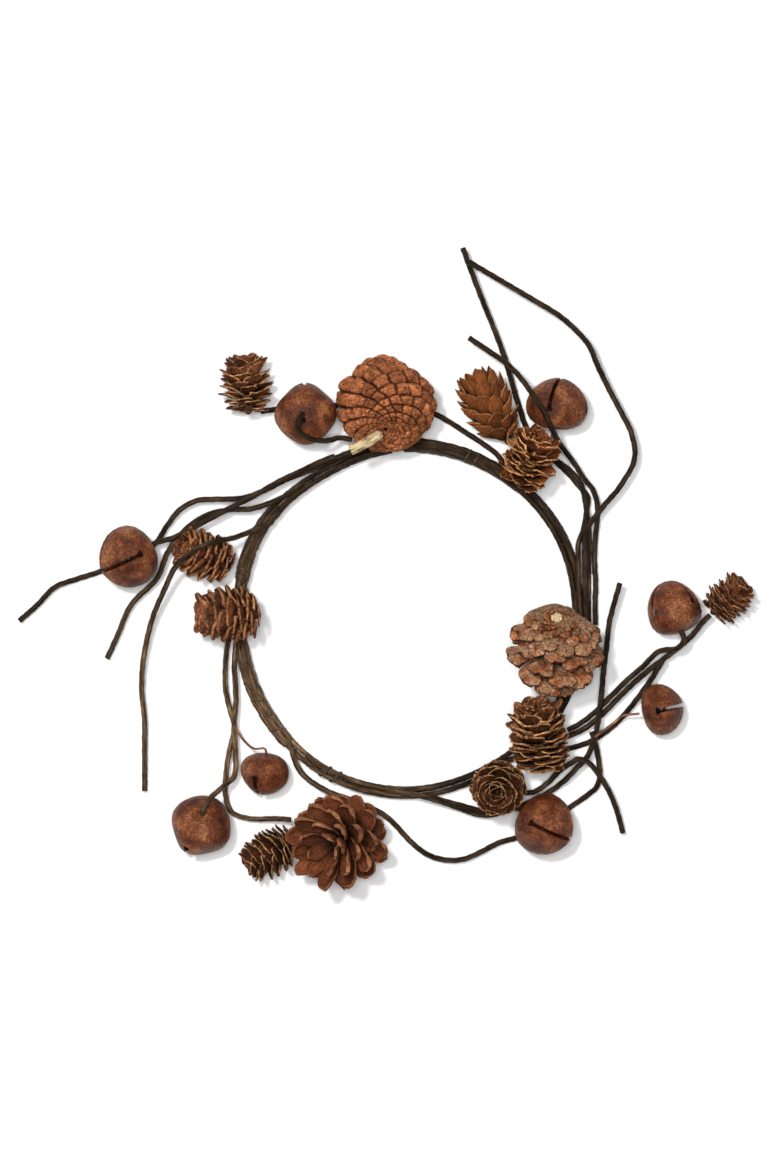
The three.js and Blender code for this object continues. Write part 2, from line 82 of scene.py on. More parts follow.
def beside_ring(angle, distance, turn):
    """A point off the bundle's middle line, at a distance and a turn round that line."""
    radius = around_twelve(RING_RADII, angle) + distance * math.cos(turn)
    height = around_twelve(RING_HEIGHTS, angle) + distance * math.sin(turn)
    way = math.radians(angle)
    return (radius * math.cos(way), radius * math.sin(way), height)


def lane_turn(lane, angle):
    return math.radians(225 + 90 * lane + BUNDLE_SWAY * math.sin(math.radians(3 * angle)))


def along_ring(lane, first, last, step=8.0):
    """A stretch of one of the bundle's four lanes, clockwise from one angle to another."""
    count = round((first - last) / step)
    angles = [first + (last - first) * i / count for i in range(count + 1)]
    return [beside_ring(angle, LANE_OFFSET, lane_turn(lane, angle)) for angle in angles]


def curve_point(p, t):
    """A point of the smooth curve through p[1] and p[2], with knots spaced by distance."""
    knots = [0.0]
    for a, b in zip(p, p[1:]):
        knots.append(knots[-1] + math.sqrt(max((b - a).length, 1e-4)))
    at = knots[1] + t * (knots[2] - knots[1])
    level = list(p)
    for reach in (1, 2):
        level = [
            level[i].lerp(level[i + 1], (at - knots[i]) / (knots[i + reach] - knots[i]))
            for i in range(4 - reach)
        ]
    return level[0].lerp(level[1], t)


FINE_STEP = 0.4


def smooth_route(points, step):
    """The route's points at even steps, in metres and in the row frame."""
    given = [Vector(p) + RING_CENTRE for p in points]
    given = [2 * given[0] - given[1], *given, 2 * given[-1] - given[-2]]
    fine = []
    for i in range(len(given) - 3):
        four = given[i:i + 4]
        pieces = max(4, round((four[2] - four[1]).length / FINE_STEP))
        fine += [curve_point(four, k / pieces) for k in range(pieces)]
    fine.append(given[-2])
    reach = [0.0]
    for a, b in zip(fine, fine[1:]):
        reach.append(reach[-1] + (b - a).length)
    count = max(2, round(reach[-1] / step))
    route, j = [], 0
    for k in range(count + 1):
        goal = reach[-1] * k / count
        while j < len(fine) - 2 and reach[j + 1] < goal:
            j += 1
        share = (goal - reach[j]) / max(reach[j + 1] - reach[j], 1e-9)
        route.append(fine[j].lerp(fine[j + 1], share) * MILLIMETRE)
    return route, reach[-1] * MILLIMETRE


def carried_frames(route):
    """For each point of a route, two directions across it that don't twist along the way."""
    frames = []
    across = None
    for i, point in enumerate(route):
        along = (route[min(i + 1, len(route) - 1)] - route[max(i - 1, 0)]).normalized()
        if across is None:
            across = along.orthogonal().normalized()
        across = (across - along * across.dot(along)).normalized()
        frames.append((point, across, along.cross(across)))
    return frames


SEWN_WITHIN = 1e-6


def sheet_place(vert):
    """Where a point of a flat sheet lies, as shares of its length and of its width."""
    return vert.co.x * 0.5 + 0.5, vert.co.y * 0.5 + 0.5


def flat_sheet(steps, sides, length, repeats=1):
    """A sheet of squares to be rolled into a tube. Its pattern runs in millimetres along it."""
    sheet = bmesh.new()
    uv = sheet.loops.layers.uv.new("UVMap")
    bmesh.ops.create_grid(sheet, x_segments=steps, y_segments=sides, size=1.0, calc_uvs=True)
    for face in sheet.faces:
        for corner in face.loops:
            share, turn = sheet_place(corner.vert)
            corner[uv].uv = (share * length, repeats * turn)
    return sheet


def sewn_tube(name, sheet):
    """Sews the long edges of a sheet that has been rolled, and closes its ends."""
    bmesh.ops.remove_doubles(sheet, verts=sheet.verts, dist=SEWN_WITHIN)
    bmesh.ops.holes_fill(sheet, edges=[e for e in sheet.edges if e.is_boundary], sides=0)
    bmesh.ops.recalc_face_normals(sheet, faces=sheet.faces)
    inside_box(sheet)
    for face in sheet.faces:
        face.smooth = len(face.verts) == 4
    return finished(name, sheet)


def round_tube(name, points, sides, step, radius_at):
    """A tube along a route. radius_at(reach, turn) is its radius, all in millimetres."""
    route, length = smooth_route(points, step)
    frames = carried_frames(route)
    steps = len(route) - 1
    tube = flat_sheet(steps, sides, length / MILLIMETRE)
    for vert in tube.verts:
        share, turn = sheet_place(vert)
        i = round(share * steps)
        turn = round(turn * sides) % sides / sides
        point, across, up = frames[i]
        way = math.tau * turn
        radius = radius_at(i / steps * length / MILLIMETRE, turn) * MILLIMETRE
        vert.co = point + radius * (math.cos(way) * across + math.sin(way) * up)
    return sewn_tube(name, tube)


def inside_box(shape):
    """Presses what a rough surface pushed past the whole wreath's box back to it."""
    for vert in shape.verts:
        for k in range(3):
            vert.co[k] = min(max(vert.co[k], cad_low[k]), cad_high[k])


def finished(name, shape):
    mesh = bpy.data.meshes.new(name)
    shape.to_mesh(mesh)
    shape.free()
    piece = bpy.data.objects.new(name, mesh)
    bpy.context.scene.collection.objects.link(piece)
    return piece


def new_material(name):
    made = bpy.data.materials.new(name)
    made.use_nodes = True
    return made, made.node_tree.nodes, made.node_tree.links, made.node_tree.nodes["Principled BSDF"]


def colour_steps(nodes, steps):
    """A colour ramp: pairs of a place from 0 to 1 and a colour."""
    ramp = nodes.new("ShaderNodeValToRGB")
    while len(ramp.color_ramp.elements) < len(steps):
        ramp.color_ramp.elements.new(0.5)
    for element, (place, colour) in zip(ramp.color_ramp.elements, steps):
        element.position = place
        element.color = (*colour, 1.0)
    return ramp


def speckle(nodes, links, coordinates, scale, detail=6.0, roughness=0.6):
    pattern = nodes.new("ShaderNodeTexNoise")
    pattern.inputs["Scale"].default_value = scale
    pattern.inputs["Detail"].default_value = detail
    pattern.inputs["Roughness"].default_value = roughness
    links.new(coordinates, pattern.inputs["Vector"])
    return pattern


def relief(nodes, links, height, distance, strength=1.0, under=None):
    bump = nodes.new("ShaderNodeBump")
    bump.inputs["Distance"].default_value = distance
    bump.inputs["Strength"].default_value = strength
    links.new(height, bump.inputs["Height"])
    if under is not None:
        links.new(under, bump.inputs["Normal"])
    return bump


def multiplied(nodes, links, first, second):
    mix = nodes.new("ShaderNodeMix")
    mix.data_type = "RGBA"
    mix.blend_type = "MULTIPLY"
    mix.inputs[0].default_value = 1.0
    links.new(first, mix.inputs[6])
    links.new(second, mix.inputs[7])
    return mix.outputs[2]


def new_group(name, inputs):
    """A shader node group that puts out a colour and a height. inputs gives its sockets' kinds."""
    group = bpy.data.node_groups.new(name, "ShaderNodeTree")
    for socket, kind in inputs.items():
        group.interface.new_socket(socket, in_out="INPUT", socket_type="NodeSocket" + kind)
    for socket, kind in {"Colour": "Color", "Height": "Float"}.items():
        group.interface.new_socket(socket, in_out="OUTPUT", socket_type="NodeSocket" + kind)
    given = group.nodes.new("NodeGroupInput").outputs
    out = group.nodes.new("NodeGroupOutput").inputs
    return group, group.nodes, group.links, given, out


def grouped_material(name, group, coordinates, values):
    """A material whose colour comes from a node group, with the group's values in it."""
    made, nodes, links, shader = new_material(name)
    places = nodes.new("ShaderNodeTexCoord")
    effect = nodes.new("ShaderNodeGroup")
    effect.node_tree = group
    for socket in coordinates:
        links.new(places.outputs[socket], effect.inputs[socket])
    for socket, value in values.items():
        effect.inputs[socket].default_value = (*value, 1.0) if isinstance(value, tuple) else value
    links.new(effect.outputs["Colour"], shader.inputs["Base Color"])
    return made, nodes, links, shader, effect


FADED_PLACE = (-0.060, -0.072, 0.007)


def creased_tape():
    """Waxed crepe paper: dark brown, creased along the stem, tan on the creases, which is partly the
    tape rubbed pale and partly a painted highlight, and faded towards the lower left of the wreath.
    Tone is how light all of it is."""
    group, nodes, links, given, out = new_group(
        "creased tape", {"UV": "Vector", "Object": "Vector", "Tone": "Float"},
    )
    stretch = nodes.new("ShaderNodeMapping")
    stretch.inputs["Scale"].default_value = (0.05, 3.0, 1.0)
    stretch.inputs["Rotation"].default_value = (0.0, 0.0, 0.06)
    links.new(given["UV"], stretch.inputs["Vector"])
    creases = speckle(nodes, links, stretch.outputs["Vector"], 1.8, 6.0, 0.75)
    # The top step is partly the tape's own rubbed tan and partly a painted highlight along the
    # creases.
    colours = colour_steps(nodes, [
        (0.36, (0.020, 0.011, 0.006)), (0.46, (0.090, 0.051, 0.026)),
        (0.55, (0.190, 0.115, 0.062)), (0.68, (0.52, 0.35, 0.20)),
    ])
    links.new(creases.outputs["Fac"], colours.inputs["Fac"])
    wide = speckle(nodes, links, given["Object"], 18.0, 3.0, 0.5)
    worn = colour_steps(nodes, [(0.36, (0.70, 0.68, 0.65)), (0.64, (1.4, 1.35, 1.3))])
    links.new(wide.outputs["Fac"], worn.inputs["Fac"])
    away = nodes.new("ShaderNodeVectorMath")
    away.operation = "DISTANCE"
    away.inputs[1].default_value = FADED_PLACE
    links.new(given["Object"], away.inputs[0])
    fade = nodes.new("ShaderNodeMapRange")
    fade.inputs["From Min"].default_value = 0.01
    fade.inputs["From Max"].default_value = 0.10
    fade.inputs["To Min"].default_value = 1.45
    fade.inputs["To Max"].default_value = 0.30
    links.new(away.outputs["Value"], fade.inputs["Value"])
    colour = colours.outputs["Color"]
    for shade in (worn.outputs["Color"], fade.outputs["Result"], given["Tone"]):
        colour = multiplied(nodes, links, colour, shade)
    links.new(colour, out["Colour"])
    links.new(creases.outputs["Fac"], out["Height"])
    return group


CREASED_TAPE = creased_tape()


def tape_material(name, tone):
    made, nodes, links, shader, tape = grouped_material(
        name, CREASED_TAPE, ["UV", "Object"], {"Tone": tone},
    )
    shader.inputs["Roughness"].default_value = 0.5
    shader.inputs["Specular IOR Level"].default_value = 0.08
    bump = relief(nodes, links, tape.outputs["Height"], 0.0009)
    links.new(bump.outputs["Normal"], shader.inputs["Normal"])
    return made


TAPE = tape_material("brown floral tape", 1.0)
DARK_TAPE = tape_material("dark brown floral tape", 0.62)
TAPE_STEP = 0.16
TAPE_RIPPLE = 0.10
TAPE_SUNK = 0.06
LAP_PITCH = (4.2, 6.4)


def taped_stem(name, points, tape=DARK_TAPE):
    pitch = random.Random(name).uniform(*LAP_PITCH)
    start = random.Random(name + "start").random()

    def radius_at(reach, turn):
        wind = (reach / pitch + turn + start) % 1.0
        way = math.tau * turn
        ripple = noise.noise(Vector((reach * 0.35, math.cos(way), start * 50.0 + math.sin(way))))
        return STEM_DIAMETER / 2 - TAPE_SUNK + TAPE_STEP * wind + TAPE_RIPPLE * ripple

    stem = round_tube(name, points, 10, 0.8, radius_at)
    stem.data.materials.append(tape)
    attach(stem, "root")
    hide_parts(name.replace("taped_", ""))


taped_stem("taped_hoop_wire", along_ring(0, 92, -264), TAPE)


# The stems that branch off the hoop: the same taped wire, cut to length and laid into the
# bundle side by side. Their free ends are bent by hand, so each route is its own.
STEM_ROUTES = {
    "stem_long_left": [
        (-188.2, 0.5, 3), (-179.5, 8.2, 3.5), (-170.9, 16.8, 4), (-160.8, 20.6, 3),
        (-148.8, 24.5, 1.7), (-135.4, 30.7, 1.6), (-123.1, 37.4, 3), (-117.1, 46.1, 5),
        (-110.9, 53.8, 7), (-102.7, 58.3, 8.5), (-94.1, 59, 9.5), (-81.1, 59.5, 10),
        (-70.6, 62.9, 10), (-60, 68.2, 10), (-44.6, 74.4, 10), (-37, 78.2, 10.8),
        (-26.4, 82.6, 11.5),
    ],
    "stem_left_low": [
        (-145.9, -17.6, 3), (-141.1, -7.2, 4), (-134.2, 8.2, 5), (-121.6, 21.2, 6.5),
        (-116.2, 34.1, 8), (-106.1, 46.1, 9), (-96.5, 51.8, 9.5), (-86.4, 54, 9.8),
        (-75.8, 54.5, 10), *along_ring(2, 134, -38),
    ],
    "stem_down_left": [
        (-127.8, -81.4, 3), (-127.8, -63.8, 4), (-127.8, -47, 5), (-129.1, -32.6, 6),
        (-128.2, -18.2, 8), (-123.8, 1.4, 11), (-117.1, 16.8, 16), (-112.8, 25.4, 21.8),
        (-106.1, 32.2, 28.1), (-97.4, 37, 28.6), (-90.7, 38.9, 27), (-81.6, 41.3, 18),
        *along_ring(3, 144, -36),
    ],
    "stem_bell_8": [
        (-125.6, 36, 13.8), (-121.6, 38.2, 11.9), (-114, 40.3, 11), (-106.1, 44.2, 12),
        (-100.8, 47, 12.8), (-86.4, 54.7, 13), (-76.8, 59.5, 13.2), (-62.4, 67.7, 13.4),
        (-52.3, 72.5, 13.4), (-43.2, 76.8, 13.8), (-36, 79.7, 14),
    ],
    "stem_cone_g": [
        (-57.4, -95, 9.6), (-63.8, -94.6, 7.2), (-77.8, -94.6, 4), (-85.9, -91.5, 4),
        (-88.8, -83.5, 4.5), (-88.1, -69.1, 5), (-86.4, -60, 5), (-84.5, -50.9, 5),
        (-86.9, -41.3, 5), (-88.8, -31.7, 5), (-88.8, -20.2, 5), (-87.8, -11, 5),
        *along_ring(1, 176, 100),
    ],
    "stem_bell_6": [
        (-99.1, -91.9, 24.5), (-98.3, -88.8, 28.6), (-95.4, -84, 28.8), (-91.5, -80.5, 21),
        (-88.8, -78.2, 13), (-85.2, -75.2, 10), (-83.8, -71, 9), (-83.8, -65.8, 8.5),
        (-84, -60, 8.3), (-84.6, -50, 8.3), (-83.7, -38.4, 8), (-84, -29.3, 8),
        (-84.5, -20.2, 8), *along_ring(2, 184, 155),
    ],
    "stem_long_bottom": [
        (87.4, -52.8, 5.4), (89.3, -58.6, 5.2), (91, -67.9, 4.6), (91.5, -73.9, 4),
        (89.8, -79.7, 3), (85.7, -83.3, 2.5), (78, -88.8, 1.7), (64.8, -97.9, 1.6),
        (50.6, -104.2, 2.2), (43.7, -106.1, 3), (26.7, -114, 4), (18, -114.7, 4),
        (9.1, -112.3, 4.5), (1.7, -107, 5), (-12.2, -93.1, 5), (-26.4, -86.4, 5.5),
        (-41.3, -80.6, 7), (-52.9, -71.5, 9), *along_ring(3, -137, -205),
    ],
    "stem_bell_3": [
        (54.8, -91.4, 13.5), (51.2, -89.4, 11.8), (46.2, -90.4, 8.2), (40, -92.8, 5.9),
        (33.1, -92.7, 5.6), (24, -89.6, 7), (12, -85.4, 10.4), (0.5, -82.3, 11.2),
        (-12, -80.4, 11.4),
    ],
    "stem_lower_right": [
        (100.8, 18.7, 12), (98.4, 10.1, 11), (95.8, 0, 10), (94.6, -11, 9.5),
        (93.1, -23, 9), (91.9, -36, 9), (90.7, -45.6, 9), (89, -55.2, 9), (85, -65, 8.5),
        (80.2, -70.1, 8), (75.4, -75.4, 6), (69.1, -80.6, 3), (57.6, -86.9, 2.5),
        (45.6, -90.7, 2), (33.6, -90.7, 2), (24, -88.2, 4.8), *along_ring(2, -88, -126),
    ],
    "stem_cone_f": [
        (144.2, 3.3, 9.9), (141, 0.3, 9.3), (135.5, -6.6, 8.5), (128.8, -12.5, 8),
        (122.3, -17.5, 7.6), (114.2, -23.8, 6.5), (106.5, -30.5, 5.5), (99.8, -37.2, 5),
        (91.6, -45.4, 4.8), (84.4, -51.1, 4.8), (74.4, -55.6, 5.4), *along_ring(3, -50, -128),
    ],
    "stem_bell_4": [
        (129.8, -4, 15.7), (131.2, -8.4, 16.6), (128.6, -12.4, 14), (119.6, -14.2, 8.2),
        (112.2, -21.3, 6.5), (104.5, -28, 5.5), (97.8, -34.7, 5), (89.6, -42.9, 4.8),
        (82.4, -48.6, 4.8), (76, -52.2, 5),
    ],
    "stem_beside_bell_5": [
        (121.4, -18.2, 11.5), (117.6, -25, 9), (113.3, -31.4, 7), (109.4, -37, 5),
        (104.2, -43.7, 3), (97.7, -50.4, 2), (88.1, -57.1, 1.7), (76.2, -61.2, 1.8),
        *along_ring(1, -54, -166),
    ],
    "stem_cone_e": [
        (102.5, -101.5, 4), (100.6, -94.4, 6), (98.4, -87.8, 8), (95.5, -81.1, 9),
        (90.7, -73.4, 9.8), (85.4, -67.2, 11.3), (80.6, -65.8, 11.5), (78.2, -67.2, 11),
        (72, -71.5, 9), (65.8, -77.8, 7.2), (58.6, -82, 6.2), (51, -81, 5.8),
        (45.6, -78.4, 5.8),
    ],
    "stem_top_inner": [
        (25.4, 179.8, 10), (27.8, 173, 10), (32.6, 160.3, 9), (37.4, 148.3, 8),
        (41.3, 138.7, 7), (45.4, 127.7, 6), (48.5, 117.3, 5), (52.6, 103.7, 4),
        (56.6, 92.6, 3), (64.8, 82.6, 2.5), (76.8, 71, 2.5), (81.6, 65.3, 2.5),
        (85.7, 60, 3), (85, 52.8, 3), (83.5, 44.4, 4), (81.1, 37.9, 6.5),
        (80.9, 29.8, 9), (81.1, 21.1, 9), (81.6, 7.7, 8.6), (83.5, -3.8, 8.4),
    ],
    "stem_top_outer": [
        (28.3, 172.8, 13.5), (41.3, 165.1, 14), (57.4, 155.5, 15), (71.5, 146.9, 15),
        (79.7, 139.7, 15), (85.9, 132.5, 14), (90, 122.9, 14), (95.5, 111.8, 13),
        (101.8, 99.8, 13), (105.9, 91.7, 12), (108, 82.1, 12), (107, 75.4, 11),
        (103.2, 68.6, 11), (98.9, 62.4, 10.5), (94.6, 57.6, 10.2), (90.2, 52.1, 9.8),
        (85.9, 46.1, 9.4), (84.2, 40.3, 8), (84.1, 32.2, 6.6), (84.2, 21.1, 6.2),
        (84.7, 7.7, 6), (86, -3.8, 6),
    ],
    "stem_over_bell_2": [
        (28.3, 136.3, 14), (37.4, 130.1, 16), (45.4, 124.3, 20), (51.8, 117.8, 25),
        (57.6, 109.7, 29), (62.9, 101.5, 30.5), (67.6, 92.4, 25.5), (73, 84, 13),
        (78.5, 76.8, 10), (83.5, 69.1, 8.6), (87.8, 63.8, 6.6), (90.2, 56.6, 5),
        (90.2, 49, 3.8), (89.5, 41.8, 3), (89, 34.6, 3), (89, 26.9, 3),
        (89.5, 18.5, 3), (89.2, 10.1, 3), (89.4, -1.4, 3),
    ],
    "stem_cone_1": [
        (2.4, 101.5, 3.2), (7.2, 100.8, 4), (11.5, 100.3, 4.5), (18.7, 96.5, 5),
        (26.6, 91.4, 5), (34.6, 86.2, 5), (42.3, 80.2, 5), *along_ring(1, 56, -42),
    ],
    "stem_cone_b": [
        (45.5, 88.7, 10.6), (47, 86.4, 9.8), (51, 84.9, 7.6), (57.6, 83.9, 6.5),
        (68.2, 78.7, 6.4), (76.8, 73, 6.4), (82.6, 65.3, 6.5), (84.6, 56.2, 6.6),
        (85.6, 49, 6.5), (86.3, 41, 5.4), (86.2, 33, 3.6), (86, 24, 3),
        (86, 7.7, 2.9), (86.2, -3.8, 2.9),
    ],
    "stem_bell_1": [
        (-51.3, 99.2, 29.5), (-51.6, 98.9, 33.4), (-53.2, 96.4, 35.4), (-54, 93.4, 34.2),
        (-52.3, 90.2, 32), (-47.5, 87.6, 29.6), (-42.2, 86.6, 25), (-37.8, 87.2, 18.5),
        (-34, 88.4, 13), (-27.8, 87.8, 11.5),
    ],
    "stem_cone_a": [
        (-71.1, 101.4, 6.8), (-69, 101.8, 3.8), (-63, 102.7, 1.8), (-49.9, 103.7, 1.6),
        (-38.4, 104.2, 1.8), (-31.2, 104.6, 2), (-24.8, 104.6, 2.6),
    ],
}
for stem_name, stem_points in STEM_ROUTES.items():
    taped_stem("taped_" + stem_name, stem_points)


# Fine wires: copper-coloured ones that hang three of the bells on their stems, and dark
# annealed ones wound tightly round the bundle where stems join it.
COPPER_DIAMETER = 1.1
BINDING_DIAMETER = 0.8
WIRE_BITE = 0.25
COPPER_ROUTES = {
    "copper_wire_bell_2": [
        (67.9, 92.4, 12.8), (68.2, 88.6, 12.4), (69.6, 85.4, 12.2), (71.4, 82.4, 11.4),
    ],
    "copper_wire_bell_7": [
        (-84.3, -49.6, 10.5), (-80.4, -56, 12.4), (-74.8, -60.6, 15.5), (-69.6, -60.6, 16.2),
        (-68.8, -63.4, 15.1),
    ],
    "copper_wire_bell_5": [
        (88.6, -55.2, 11.2), (97.9, -48.5, 9), (102.6, -44.8, 9.5), (106.4, -44.4, 10.2),
        (110.2, -44, 10.6),
    ],
}
BINDING_SPANS = {
    "binding_wire_left": (198, 221, 4),
    "binding_wire_upper_left": (161, 166, 2),
    "binding_wire_top": (66, 72, 2),
    "binding_wire_bottom": (238, 246, 2),
}


def dulled_metal():
    """Metal that has dulled in spots, from a dark tone to a bright one."""
    group, nodes, links, given, out = new_group("dulled metal", {
        "Object": "Vector", "Scale": "Float", "Dark": "Color", "Bright": "Color",
        "Dark Up To": "Float", "Bright From": "Float",
    })
    spots = speckle(nodes, links, given["Object"], 1.0)
    links.new(given["Scale"], spots.inputs["Scale"])
    share = nodes.new("ShaderNodeMapRange")
    links.new(given["Dark Up To"], share.inputs["From Min"])
    links.new(given["Bright From"], share.inputs["From Max"])
    links.new(spots.outputs["Fac"], share.inputs["Value"])
    tones = nodes.new("ShaderNodeMix")
    tones.data_type = "RGBA"
    links.new(share.outputs["Result"], tones.inputs[0])
    links.new(given["Dark"], tones.inputs[6])
    links.new(given["Bright"], tones.inputs[7])
    links.new(tones.outputs[2], out["Colour"])
    links.new(spots.outputs["Fac"], out["Height"])
    return group


DULLED_METAL = dulled_metal()


def metal_material(name, scale, span, dark, bright, metallic, roughness):
    made, nodes, links, shader, metal = grouped_material(name, DULLED_METAL, ["Object"], {
        "Scale": scale, "Dark Up To": span[0], "Bright From": span[1], "Dark": dark,
        "Bright": bright,
    })
    shader.inputs["Metallic"].default_value = metallic
    shader.inputs["Roughness"].default_value = roughness
    return made, nodes, links, shader, metal


def wire_material(name, dark, bright, metallic):
    made, nodes, links, shader, metal = metal_material(
        name, 400.0, (0.35, 0.65), dark, bright, metallic, 0.45,
    )
    bump = relief(nodes, links, metal.outputs["Height"], 0.0001)
    links.new(bump.outputs["Normal"], shader.inputs["Normal"])
    return made


COPPER = wire_material("dull copper wire", (0.10, 0.03, 0.015), (0.34, 0.13, 0.07), 0.6)
BINDING = wire_material("dark annealed wire", (0.015, 0.010, 0.008), (0.09, 0.055, 0.035), 0.4)


def over_bundle(bar, wind):
    """How far from the bundle's middle a winding lies that stands this far off the lanes'
    middles, at a turn round the bundle. It is farthest where it crosses a stem."""
    corner = LANE_OFFSET + bar
    flat = LANE_OFFSET / math.sqrt(2) + bar
    return flat + (corner - flat) * (1 + math.cos(4 * wind)) / 2


def binding_route(first, last, turns, per_turn=12):
    bar = (STEM_DIAMETER + BINDING_DIAMETER) / 2 + TAPE_STEP - WIRE_BITE
    points = []
    for i in range(turns * per_turn + 1):
        angle = first + (last - first) * i / (turns * per_turn)
        wind = math.tau * i / per_turn
        points.append(beside_ring(angle, over_bundle(bar, wind), lane_turn(0, angle) + wind))
    return points


for wire_name, wire_points in COPPER_ROUTES.items():
    wire = round_tube(
        "bent_" + wire_name, wire_points, 8, 0.5, lambda reach, turn: COPPER_DIAMETER / 2,
    )
    wire.data.materials.append(COPPER)
    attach(wire, "root")
    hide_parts(wire_name)
for wire_name, span in BINDING_SPANS.items():
    wire = round_tube(
        "wound_" + wire_name, binding_route(*span), 6, 0.6,
        lambda reach, turn: BINDING_DIAMETER / 2,
    )
    wire.data.materials.append(BINDING)
    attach(wire, "root")
    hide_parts(wire_name)


# Tape bands: where many stems join, the maker winds the whole bundle once more with the
# same paper tape, so it looks like one thick branch there.
TAPE_BANDS = {
    "tape_band_top": (89, 50), "tape_band_left": (139, 167), "tape_band_lower_left": (186, 225),
}
BAND_THICKNESS = 0.28
BAND_PITCH = 7.0
BAND_CREASE = 0.42
BAND_LAP = 0.22
BAND_TUCK = 0.5


def between(low, high, share):
    return low + (high - low) * share


def eased(low, high, value):
    """0 below low, 1 above high and a smooth rise between them."""
    share = min(1.0, max(0.0, (value - low) / (high - low)))
    return share * share * (3 - 2 * share)


def tape_band(name, first, last, steps=60, sides=28):
    """A flat winding over the whole bundle, creased and lapped, with its ends tucked in."""
    length = math.radians(abs(last - first)) * RING_RADII[0]
    band = flat_sheet(steps, sides, length, repeats=3)
    for vert in band.verts:
        share, turn = sheet_place(vert)
        turn = round(turn * sides) % sides / sides
        wind = math.tau * turn
        angle = between(first, last, share)
        way = Vector((0.35 * share * length, 2.2 * math.cos(wind), 2.2 * math.sin(wind)))
        lapped = (share * length / BAND_PITCH + turn) % 1.0
        ends = eased(0.0, 0.05, share) * eased(0.0, 0.05, 1 - share)
        distance = over_bundle(STEM_DIAMETER / 2 + BAND_THICKNESS, wind)
        distance += ends * (BAND_CREASE * noise.noise(way) + BAND_LAP * lapped)
        distance -= BAND_TUCK * (1 - ends)
        place = Vector(beside_ring(angle, distance, lane_turn(0, angle) + wind))
        vert.co = (place + RING_CENTRE) * MILLIMETRE
    piece = sewn_tube(name, band)
    piece.data.materials.append(DARK_TAPE)
    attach(piece, "root")


for band_name, band_span in TAPE_BANDS.items():
    tape_band(band_name, *band_span)


# Small cones: dry woody cones about as long as a thumb joint, of a core that broad thin
# scales grow from in a spiral. Each is wired by its base to a stem's end.
GOLDEN_TURN = math.radians(137.508)
FORMS_PER_CONE = 3
UP = Vector((0, 0, 1))
WIDE_WAVES = 0.32
FINE_WAVES = 1.3
CONE_SHARP = math.radians(55)


def scale_form(across, along, outline, crown, ragged, seed, spot=None):
    """One scale of unit length, with its root at the origin, growing along Y. outline(s) is
    its half width, crown(x, s) the heights of its two faces, and spot(u, s) marks its point."""
    form = bmesh.new()
    marks = form.verts.layers.float_color.new("scale")
    bmesh.ops.create_grid(form, x_segments=across, y_segments=along, size=0.5)
    grown = bmesh.ops.extrude_face_region(form, geom=list(form.faces))
    upper = {e for e in grown["geom"] if isinstance(e, bmesh.types.BMVert)}
    for vert in form.verts:
        u = 2 * vert.co.x
        s = 1 - (0.5 - vert.co.y) ** 1.9
        x = 2 * u * outline(s)
        high, low = crown(x, s)
        torn = 1 + ragged * noise.noise(Vector((3.5 * s, 1.5 * u + 9 * seed, seed)))
        sway = 0.5 * ragged * noise.noise(Vector((2.0 * u, 5 * seed, 3.0 * s)))
        vert[marks] = (s, abs(u), 0.0, spot(u, s) if spot else 0.0)
        vert.co = (x / 2 * torn, s * torn, (high if vert in upper else low) + sway)
    bmesh.ops.recalc_face_normals(form, faces=form.faces)
    mesh = bpy.data.meshes.new("scale form")
    form.to_mesh(mesh)
    form.free()
    return mesh


def scale_forms(across, along, outline, crown, ragged, spot=None):
    """The same scale a few times over, each torn in its own way."""
    return [
        scale_form(across, along, outline, crown, ragged, k + 1, spot)
        for k in range(FORMS_PER_CONE)
    ]


def standing(root, growth, face, width, reach, depth):
    """The place of a scale: its root, the way it grows, the way its face looks, its size."""
    y = growth.normalized()
    x = y.cross(face).normalized()
    turn = Matrix((x, y, x.cross(y))).transposed().to_4x4()
    return Matrix.Translation(root) @ turn @ Matrix.Diagonal((width, reach, depth, 1.0))


def add_scale(cone, form, matrix, draw):
    before = len(cone.verts)
    cone.from_mesh(form)
    cone.verts.ensure_lookup_table()
    marks = cone.verts.layers.float_color["scale"]
    grown = cone.verts[before:]
    bmesh.ops.transform(cone, matrix=matrix, verts=grown)
    for vert in grown:
        s, u, _, spot = vert[marks]
        vert[marks] = (s, u, draw, spot)


def add_core(cone, radius, length, low, high):
    """The cone's woody axis, from one share of its length to another. It goes in last."""
    axis = bmesh.new()
    bmesh.ops.create_uvsphere(axis, u_segments=16, v_segments=10, radius=1.0)
    shape = Matrix.Diagonal((radius, radius, length * (high - low) / 2, 1.0))
    bmesh.ops.transform(axis, matrix=shape, verts=axis.verts)
    bmesh.ops.translate(axis, vec=(0, 0, length * (low + high) / 2), verts=axis.verts)
    mesh = bpy.data.meshes.new("core")
    axis.to_mesh(mesh)
    axis.free()
    cone.from_mesh(mesh)
    bpy.data.meshes.remove(mesh)


# noise_vector takes its start from the clock unless one is set. With this one every run
# gives the same cones.
noise.seed_set(7)


